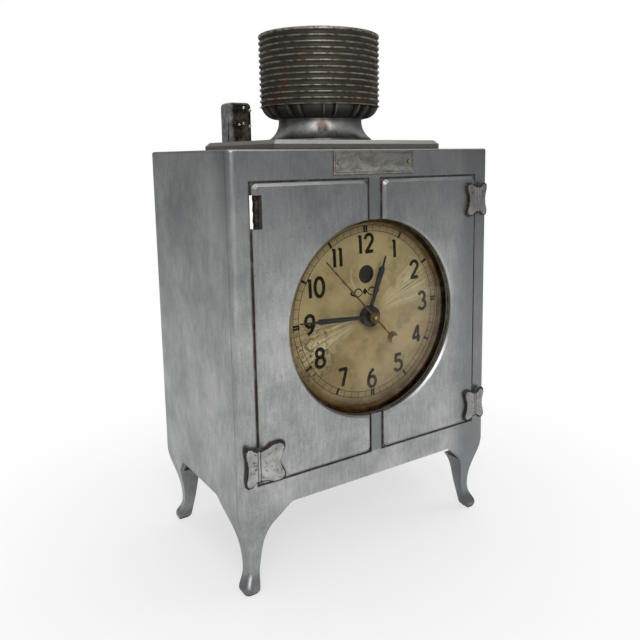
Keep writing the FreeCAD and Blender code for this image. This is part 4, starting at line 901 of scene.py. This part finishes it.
def dial_ornament():
    """A plain scroll above the hands: a lozenge between two curled lines."""
    bm = bmesh.new()
    near, far = DIAL_FRONT - FINE_LIFT, DIAL_FRONT - INK_GAP
    middle = HANDS_AXIS + Vector((-0.8, 0.0, 10.3)) * MM
    lozenge = mm([(-1.3, 0.0), (0.0, 1.5), (1.3, 0.0), (0.0, -1.5)])
    plate(bm, [(middle.x + x, middle.z + z) for x, z in lozenge], near, far)
    scroll = mm(arc(3.5, 0.0, 1.7, 1.4, 180, 10, 12) + arc(6.1, -0.1, 1.0, 0.95, 170, 410, 14))
    under = mm(arc(3.9, 1.3, 3.2, 3.2, 205, 335, 12))
    for way in (-1, 1):
        for points, width in ((scroll, 0.56 * MM), (under, 0.44 * MM)):
            ribbon(bm, [(middle.x + way * x, middle.z + z) for x, z in points], width, near, far)
    piece("dial_ornament", bm, "case", "hand_black", INK)


# --- hands ---

def pointing(node):
    """Length of a hand and the clockwise angle of its tip, from the CAD node."""
    away = [Vector((v.co.x, v.co.z)) - HANDS_AXIS.xz
            for v in frame["nodes"][node].data.vertices]
    longest = max(offset.length for offset in away)
    tips = [offset for offset in away if offset.length > longest - 0.06 * MM]
    tip = sum(tips, Vector((0.0, 0.0))) / len(tips)
    return longest, math.atan2(tip.x, tip.y)


def turned_outline(outline, angle):
    """Hand outlines are drawn pointing up; turn them to where the hand points."""
    return [(HANDS_AXIS.x + x * math.cos(angle) + z * math.sin(angle),
             HANDS_AXIS.z - x * math.sin(angle) + z * math.cos(angle)) for x, z in outline]


def hub(bm, radius, bore, near, far, dome):
    """A round boss with a soft edge and a bored middle."""
    soft = 0.28 * (far - near)
    profile = [(bore, far), (radius, far), (radius, near + soft)]
    profile += [(radius - soft * (1 - math.cos(math.radians(turn))),
                 near + soft * (1 - math.sin(math.radians(turn)))) for turn in (30, 60, 90)]
    profile += [(radius * 0.55, near - dome * 0.6), (max(bore, radius * 0.3), near - dome),
                (bore, near - dome)]
    lathe(bm, profile, Vector((HANDS_AXIS.x, 0.0, HANDS_AXIS.z)), 72)


HUB_RADIUS = 4.35 * MM
# end of the second hand's straight part, and the middle of its crescent in millimetres
TAIL, CRESCENT = -11.0 * MM, -13.0


def baton_hand(node, body, shoulder, root, wide, tip, bore):
    """A hand that is root wide at its hub, wide near its shoulder and tip wide beyond it."""
    length, angle = pointing(node)
    low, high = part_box(node)
    half = [(root / 2, 2.0 * MM), (wide / 2, shoulder - 1.2 * MM),
            (wide / 2 - 0.2 * MM, shoulder), (tip / 2, shoulder + 0.7 * MM),
            (tip / 2, length - 0.25 * MM), (0.12 * MM, length)]
    outline = half + [(-x, z) for x, z in reversed(half)]
    middle = (low.y + high.y) / 2
    bm = bmesh.new()
    plate(bm, turned_outline(outline, angle), middle - 0.22 * MM, middle + 0.18 * MM,
          0.14 * MM)
    piece(node + "_blade", bm, body, "hand_black")
    bm = bmesh.new()
    hub(bm, HUB_RADIUS, bore, low.y + 0.02 * MM, high.y, 0.0)
    piece(node + "_hub", bm, body, "hand_black", stands_for=(node,))


def sweep_hand():
    """The copper second hand with a crescent on its tail."""
    length, angle = pointing("second_hand")
    low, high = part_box("second_hand")
    near, far = low.y + 0.22 * MM, low.y + 0.55 * MM
    bm = bmesh.new()
    needle = [(-0.30 * MM, length - 0.5 * MM), (0.0, length), (0.30 * MM, length - 0.5 * MM),
              (0.38 * MM, TAIL), (-0.38 * MM, TAIL)]
    plate(bm, turned_outline(needle, angle), near, far, 0.10 * MM)
    inner = mm(arc(0, CRESCENT - 1.75, 1.75, 1.9, 8, 172, 16))
    horns = mm(arc(0, CRESCENT, 2.5, 2.5, -38, 218, 26))
    plate(bm, turned_outline(horns + list(reversed(inner)), angle), near, far, 0.10 * MM)
    hub(bm, 2.4 * MM, 0.6 * MM, low.y + 0.20 * MM, high.y - 1.2 * MM, 0.12 * MM)
    piece("second_hand_copper", bm, "seconds", "hand_copper", stands_for=("second_hand",))


# --- front trim ---

# upper half of a hinge's wing, outwards from the knuckle: shares of its reach and its height
WING = [(0.0, 0.39), (0.30, 0.40), (0.46, 0.485), (0.80, 0.50), (0.97, 0.44),
        (1.00, 0.33), (0.90, 0.21), (0.80, 0.10), (0.77, 0.0)]
# how far the dark backing of dirt and painted shadow shows beyond a wing at its sides and ends,
# and past the CAD hinge at most
DIRT_AND_SHADOW_ASIDE, DIRT_AND_SHADOW_ABOVE, DIRT_AND_SHADOW_PAST = 0.70 * MM, 1.15 * MM, 0.6 * MM


def wing_outline(inner, reach, middle, tall):
    """Both halves of a wing; the reach is negative for one that points left."""
    upper = [(inner + reach * out, middle.z + tall * up) for out, up in WING]
    return upper + [(inner + reach * out, middle.z - tall * up)
                    for out, up in reversed(WING[:-1])]


def dirt_outline(wing, centre_x, reach, low, high):
    """A wing's outline grown a little, kept close to the CAD hinge's sides."""
    middle_z, tall = (low.z + high.z) / 2, high.z - low.z
    spread = 1.0 + DIRT_AND_SHADOW_ASIDE / (0.55 * abs(reach))
    stretch = 1.0 + DIRT_AND_SHADOW_ABOVE / tall
    return [(min(max(centre_x + (x - centre_x) * spread, low.x - DIRT_AND_SHADOW_PAST), high.x + DIRT_AND_SHADOW_PAST),
             middle_z + (z - middle_z) * stretch) for x, z in wing]


def hinge_knuckle(bm, x, near, middle, tall):
    """An upright pin with pointed ends."""
    top, bottom = middle.z + tall * 0.40, middle.z - tall * 0.40
    lathe(bm, [(0.0, bottom - 0.25 * MM), (0.40 * MM, bottom), (0.60 * MM, bottom + 0.2 * MM),
               (0.60 * MM, top - 0.2 * MM), (0.40 * MM, top), (0.0, top + 0.25 * MM)],
          Vector((x, near + 0.62 * MM, 0.0)), 28, "z")


def hinge_piece(node, side, knuckle_at):
    """A butterfly hinge: two eared wings, a knuckle and small rivets, with a dark backing of dirt
    and painted shadow round them.
    """
    low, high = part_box(node)
    middle = (low + high) / 2
    wide, tall = high.x - low.x, high.z - low.z
    near, far = low.y, low.y + 1.0 * MM
    seam = side * knuckle_at - middle.x
    bm, dirt_and_shade = bmesh.new(), bmesh.new()
    for way in (-1, 1):
        inner = middle.x + seam + way * 0.55 * MM
        reach = way * abs(middle.x + way * wide / 2 - inner)
        wing = wing_outline(inner, reach, middle, tall)
        depth = near + (0.0 if way == -side else 0.12 * MM)
        plate(bm, wing, depth, far + 0.45 * MM, 0.26 * MM, 3)
        # a dark plate a little larger than the wing, behind it: dirt and a painted shadow round
        # the hinge
        plate(dirt_and_shade, dirt_outline(wing, inner + reach * 0.45, reach, low, high),
              depth + (0.34 + 0.03 * way) * MM, far + 0.40 * MM, 0.08 * MM)
        for up in (-0.24, 0.24):
            rivet = Vector((inner + reach * 0.48, depth + 0.12 * MM, middle.z + tall * up))
            lathe(bm, mm([(0, -0.10), (0.42, -0.04), (0.62, 0.12), (0, 0.14)]), rivet, 20)
    hinge_knuckle(bm, middle.x + seam, near, middle, tall)
    piece(node + "_trim", bm, "case", "hinge_metal", stands_for=(node,))
    piece(node + "_grime", dirt_and_shade, "case", "hinge_metal", GRIME_AND_PAINTED_SHADOW)


# sides of the missing hinge's stub, half its height, and the steps of its eaten edge
STUB_LEFT, STUB_RIGHT, STUB_HALF, STUB_STEPS = -53.3 * MM, -51.55 * MM, 6.1 * MM, 9


def tang_stub():
    """What is left of the missing hinge: a rusty stub along the inner side of its slot."""
    # the slot is as high up as the hinge on the other side
    low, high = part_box("hinge_upper_right")
    middle = (low.z + high.z) / 2
    bm = bmesh.new()
    edge = [(STUB_LEFT + 0.16 * MM * math.sin(2.1 * step),
             middle + STUB_HALF * (2 * step / STUB_STEPS - 1)) for step in range(STUB_STEPS + 1)]
    stub = edge + [(STUB_RIGHT, middle + STUB_HALF), (STUB_RIGHT, middle - STUB_HALF)]
    plate(bm, stub, CASE_LOW.y + 2.2 * MM, CASE_LOW.y + 4.0 * MM, 0.1 * MM)
    piece("missing_hinge_stub", bm, "case", "hinge_metal", GRIME_AND_PAINTED_SHADOW)


def rectangle(low, high, inset):
    """Corners (x, z) of a box's front, drawn in by an inset."""
    left, right, bottom, top = low.x + inset, high.x - inset, low.z + inset, high.z - inset
    return [(left, bottom), (left, top), (right, top), (right, bottom)]


def name_plate():
    """A thin plate with a raised border and a worn row of plain relief in place of words."""
    low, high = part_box("nameplate")
    middle = (low + high) / 2
    face = low.y + 0.16 * MM
    bm = bmesh.new()
    plate(bm, rectangle(low, high, 0.0), face, high.y, 0.14 * MM)
    ribbon(bm, rectangle(low, high, 0.7 * MM), 0.34 * MM, low.y + 0.04 * MM, face + 0.05 * MM,
           closed=True)
    count, span, half_leaf = 15, 25.0 * MM, 0.55 * MM
    for number in range(count):
        x = middle.x + span * (number / (count - 1) - 0.5)
        tall = (1.15 + 0.35 * math.cos(2.4 * number)) * MM
        leaf = [(x - half_leaf, middle.z), (x, middle.z + tall), (x + half_leaf, middle.z),
                (x, middle.z - tall)]
        plate(bm, leaf, low.y + 0.06 * MM, face + 0.05 * MM, 0.08 * MM)
    piece("nameplate_relief", bm, "case", "plate_metal", stands_for=("nameplate",))


# where the control box's studs stand, as shares of its width and height
STUDS = ((0.62, 0.86), (0.90, 0.80), (0.40, 0.44), (0.60, 0.47), (0.88, 0.40))


def control_studs():
    """Bright stud heads on the front of the control box, in near-white metal so that they show as
    painted glints.
    """
    low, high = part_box("control_box")
    bm = bmesh.new()
    for across, up in STUDS:
        spot = Vector((low.x + across * (high.x - low.x), low.y, low.z + up * (high.z - low.z)))
        lathe(bm, mm([(0, -0.55), (0.35, -0.45), (0.62, -0.12), (0.66, 0.40), (0, 0.40)]),
              spot, 24)
    piece("control_box_studs", bm, "case", "steel", GLINT_STEEL)


# --- stage, light and camera ---

def floor_paper():
    """White paper that takes a soft shadow near the clock and runs to plain white beyond."""
    s = Shade("floor_paper")
    s.done(Base_Color=s.mix(s.noise(30, 2), (0.80, 0.80, 0.795), (0.84, 0.84, 0.835)),
           Roughness=0.85, Specular_IOR_Level=0.1)
    across, along, _ = s.parts(s.place)
    away = s.math("SQRT", s.total(s.product(across, across), s.product(along, along)))
    seen = s.node("ShaderNodeLightPath").outputs["Is Camera Ray"]
    glow = s.node("ShaderNodeEmission")
    s.feed(glow.inputs["Color"], (1.0, 1.0, 1.0))
    s.show(s.blend(s.product(s.range(away, 0.05, 0.22, 0.62, 1.0), seen), s.surface, glow))
    return s.material


FLOOR_REACH = 6.0


def stage():
    """A flat floor at the feet."""
    mesh = bpy.data.meshes.new("floor")
    square = ((-1, -1), (1, -1), (1, 1), (-1, 1))
    mesh.from_pydata([(x * FLOOR_REACH, y * FLOOR_REACH, 0) for x, y in square], [],
                     [(0, 1, 2, 3)])
    mesh.materials.append(floor_paper())
    add("floor", mesh)


# the studio's brightness, from straight below at 0 through the horizon at 0.5 to overhead at 1
STUDIO = [(0.0, 0.55), (0.47, 0.50), (0.52, 0.20), (0.62, 0.20), (0.75, 0.60), (1.0, 0.80)]
STUDIO_STRENGTH = 0.6


def world():
    """Even white to the eye, and a studio that is dim above the horizon and bright overhead."""
    made = bpy.data.worlds.new("studio")
    bpy.context.scene.world = made
    made.use_nodes = True
    made.node_tree.nodes.clear()
    t = Tree(made.node_tree)
    height = t.parts(t.node("ShaderNodeTexCoord").outputs["Generated"])[2]
    ramp = t.node("ShaderNodeValToRGB")
    t.feed(ramp.inputs[0], t.total(t.product(height, 0.5), 0.5))
    while len(ramp.color_ramp.elements) < len(STUDIO):
        ramp.color_ramp.elements.new(0.5)
    for element, (position, level) in zip(ramp.color_ramp.elements, STUDIO):
        element.position = position
        element.color = (level, level, level * 1.02, 1.0)
    room, white = t.node("ShaderNodeBackground"), t.node("ShaderNodeBackground")
    t.feed(room.inputs["Color"], ramp.outputs[0])
    t.feed(room.inputs["Strength"], STUDIO_STRENGTH)
    t.feed(white.inputs["Color"], (1.0, 1.0, 1.0))
    seen = t.node("ShaderNodeLightPath").outputs["Is Camera Ray"]
    both = t.blend(seen, room, white)
    t.tree.links.new(both.outputs[0], t.node("ShaderNodeOutputWorld").inputs["Surface"])


LIGHTS_AIM = (0, 0, 0.1)


def softbox(name, place, wide, high, power, mirrored=True):
    """A rectangular lamp that faces the clock, and may be kept out of its reflections."""
    data = bpy.data.lights.new(name, "AREA")
    data.shape = "RECTANGLE"
    data.size = wide
    data.size_y = high
    data.energy = power
    lamp = add(name, data)
    lamp.location = place
    lamp.visible_glossy = mirrored
    ahead = Vector(LIGHTS_AIM) - Vector(place)
    lamp.rotation_euler = ahead.to_track_quat("-Z", "Y").to_euler()


# the camera's place, its turn to the right, its tilt up and its roll, in metres and radians
CAMERA_PLACE = (-164.18 * MM, -260.29 * MM, 169.23 * MM)
CAMERA_YAW, CAMERA_PITCH, CAMERA_ROLL = 0.6042, -0.1461, -0.0111
# lens and sensor in millimetres, and the lens shift in pixels of a picture this wide
LENS, SENSOR, SHIFT_X, SHIFT_Y, PICTURE = 38.55, 36.0, -34, -63, 640


def camera():
    """Stands off the front left, level with the case's top, and looks slightly down."""
    data = bpy.data.cameras.new("camera")
    made = add("camera", data)
    made.location = CAMERA_PLACE
    ahead = Vector((math.sin(CAMERA_YAW) * math.cos(CAMERA_PITCH),
                    math.cos(CAMERA_YAW) * math.cos(CAMERA_PITCH), math.sin(CAMERA_PITCH)))
    made.rotation_mode = "QUATERNION"
    roll = Quaternion((0, 0, 1), CAMERA_ROLL)
    made.rotation_quaternion = ahead.to_track_quat("-Z", "Y") @ roll
    data.sensor_width = SENSOR
    data.lens = LENS
    data.shift_x = SHIFT_X / PICTURE
    data.shift_y = SHIFT_Y / PICTURE
    data.clip_start = 0.01
    bpy.context.scene.camera = made


dress_cad_nodes()
numerals()
minute_track()
dial_ornament()
baton_hand("hour_hand", "hour", shoulder=21.0 * MM, root=1.5 * MM, wide=2.8 * MM,
           tip=0.7 * MM, bore=2.4 * MM)
baton_hand("minute_hand", "minute", shoulder=25.7 * MM, root=1.4 * MM, wide=2.3 * MM,
           tip=0.7 * MM, bore=1.5 * MM)
sweep_hand()
hinge_piece("hinge_lower_left", side=-1, knuckle_at=56.3 * MM)
hinge_piece("hinge_lower_right", side=1, knuckle_at=55.2 * MM)
hinge_piece("hinge_upper_right", side=1, knuckle_at=55.2 * MM)
tang_stub()
name_plate()
control_studs()
stage()
world()
softbox("key", (-0.45, -0.85, 0.75), wide=0.6, high=0.6, power=6.0)
softbox("top", (0.1, 0.1, 1.0), wide=0.9, high=0.9, power=4.0)
softbox("side", (0.8, -0.35, 0.45), wide=0.35, high=0.6, power=1.3, mirrored=False)
camera()
bpy.context.scene.view_settings.view_transform = "Standard"
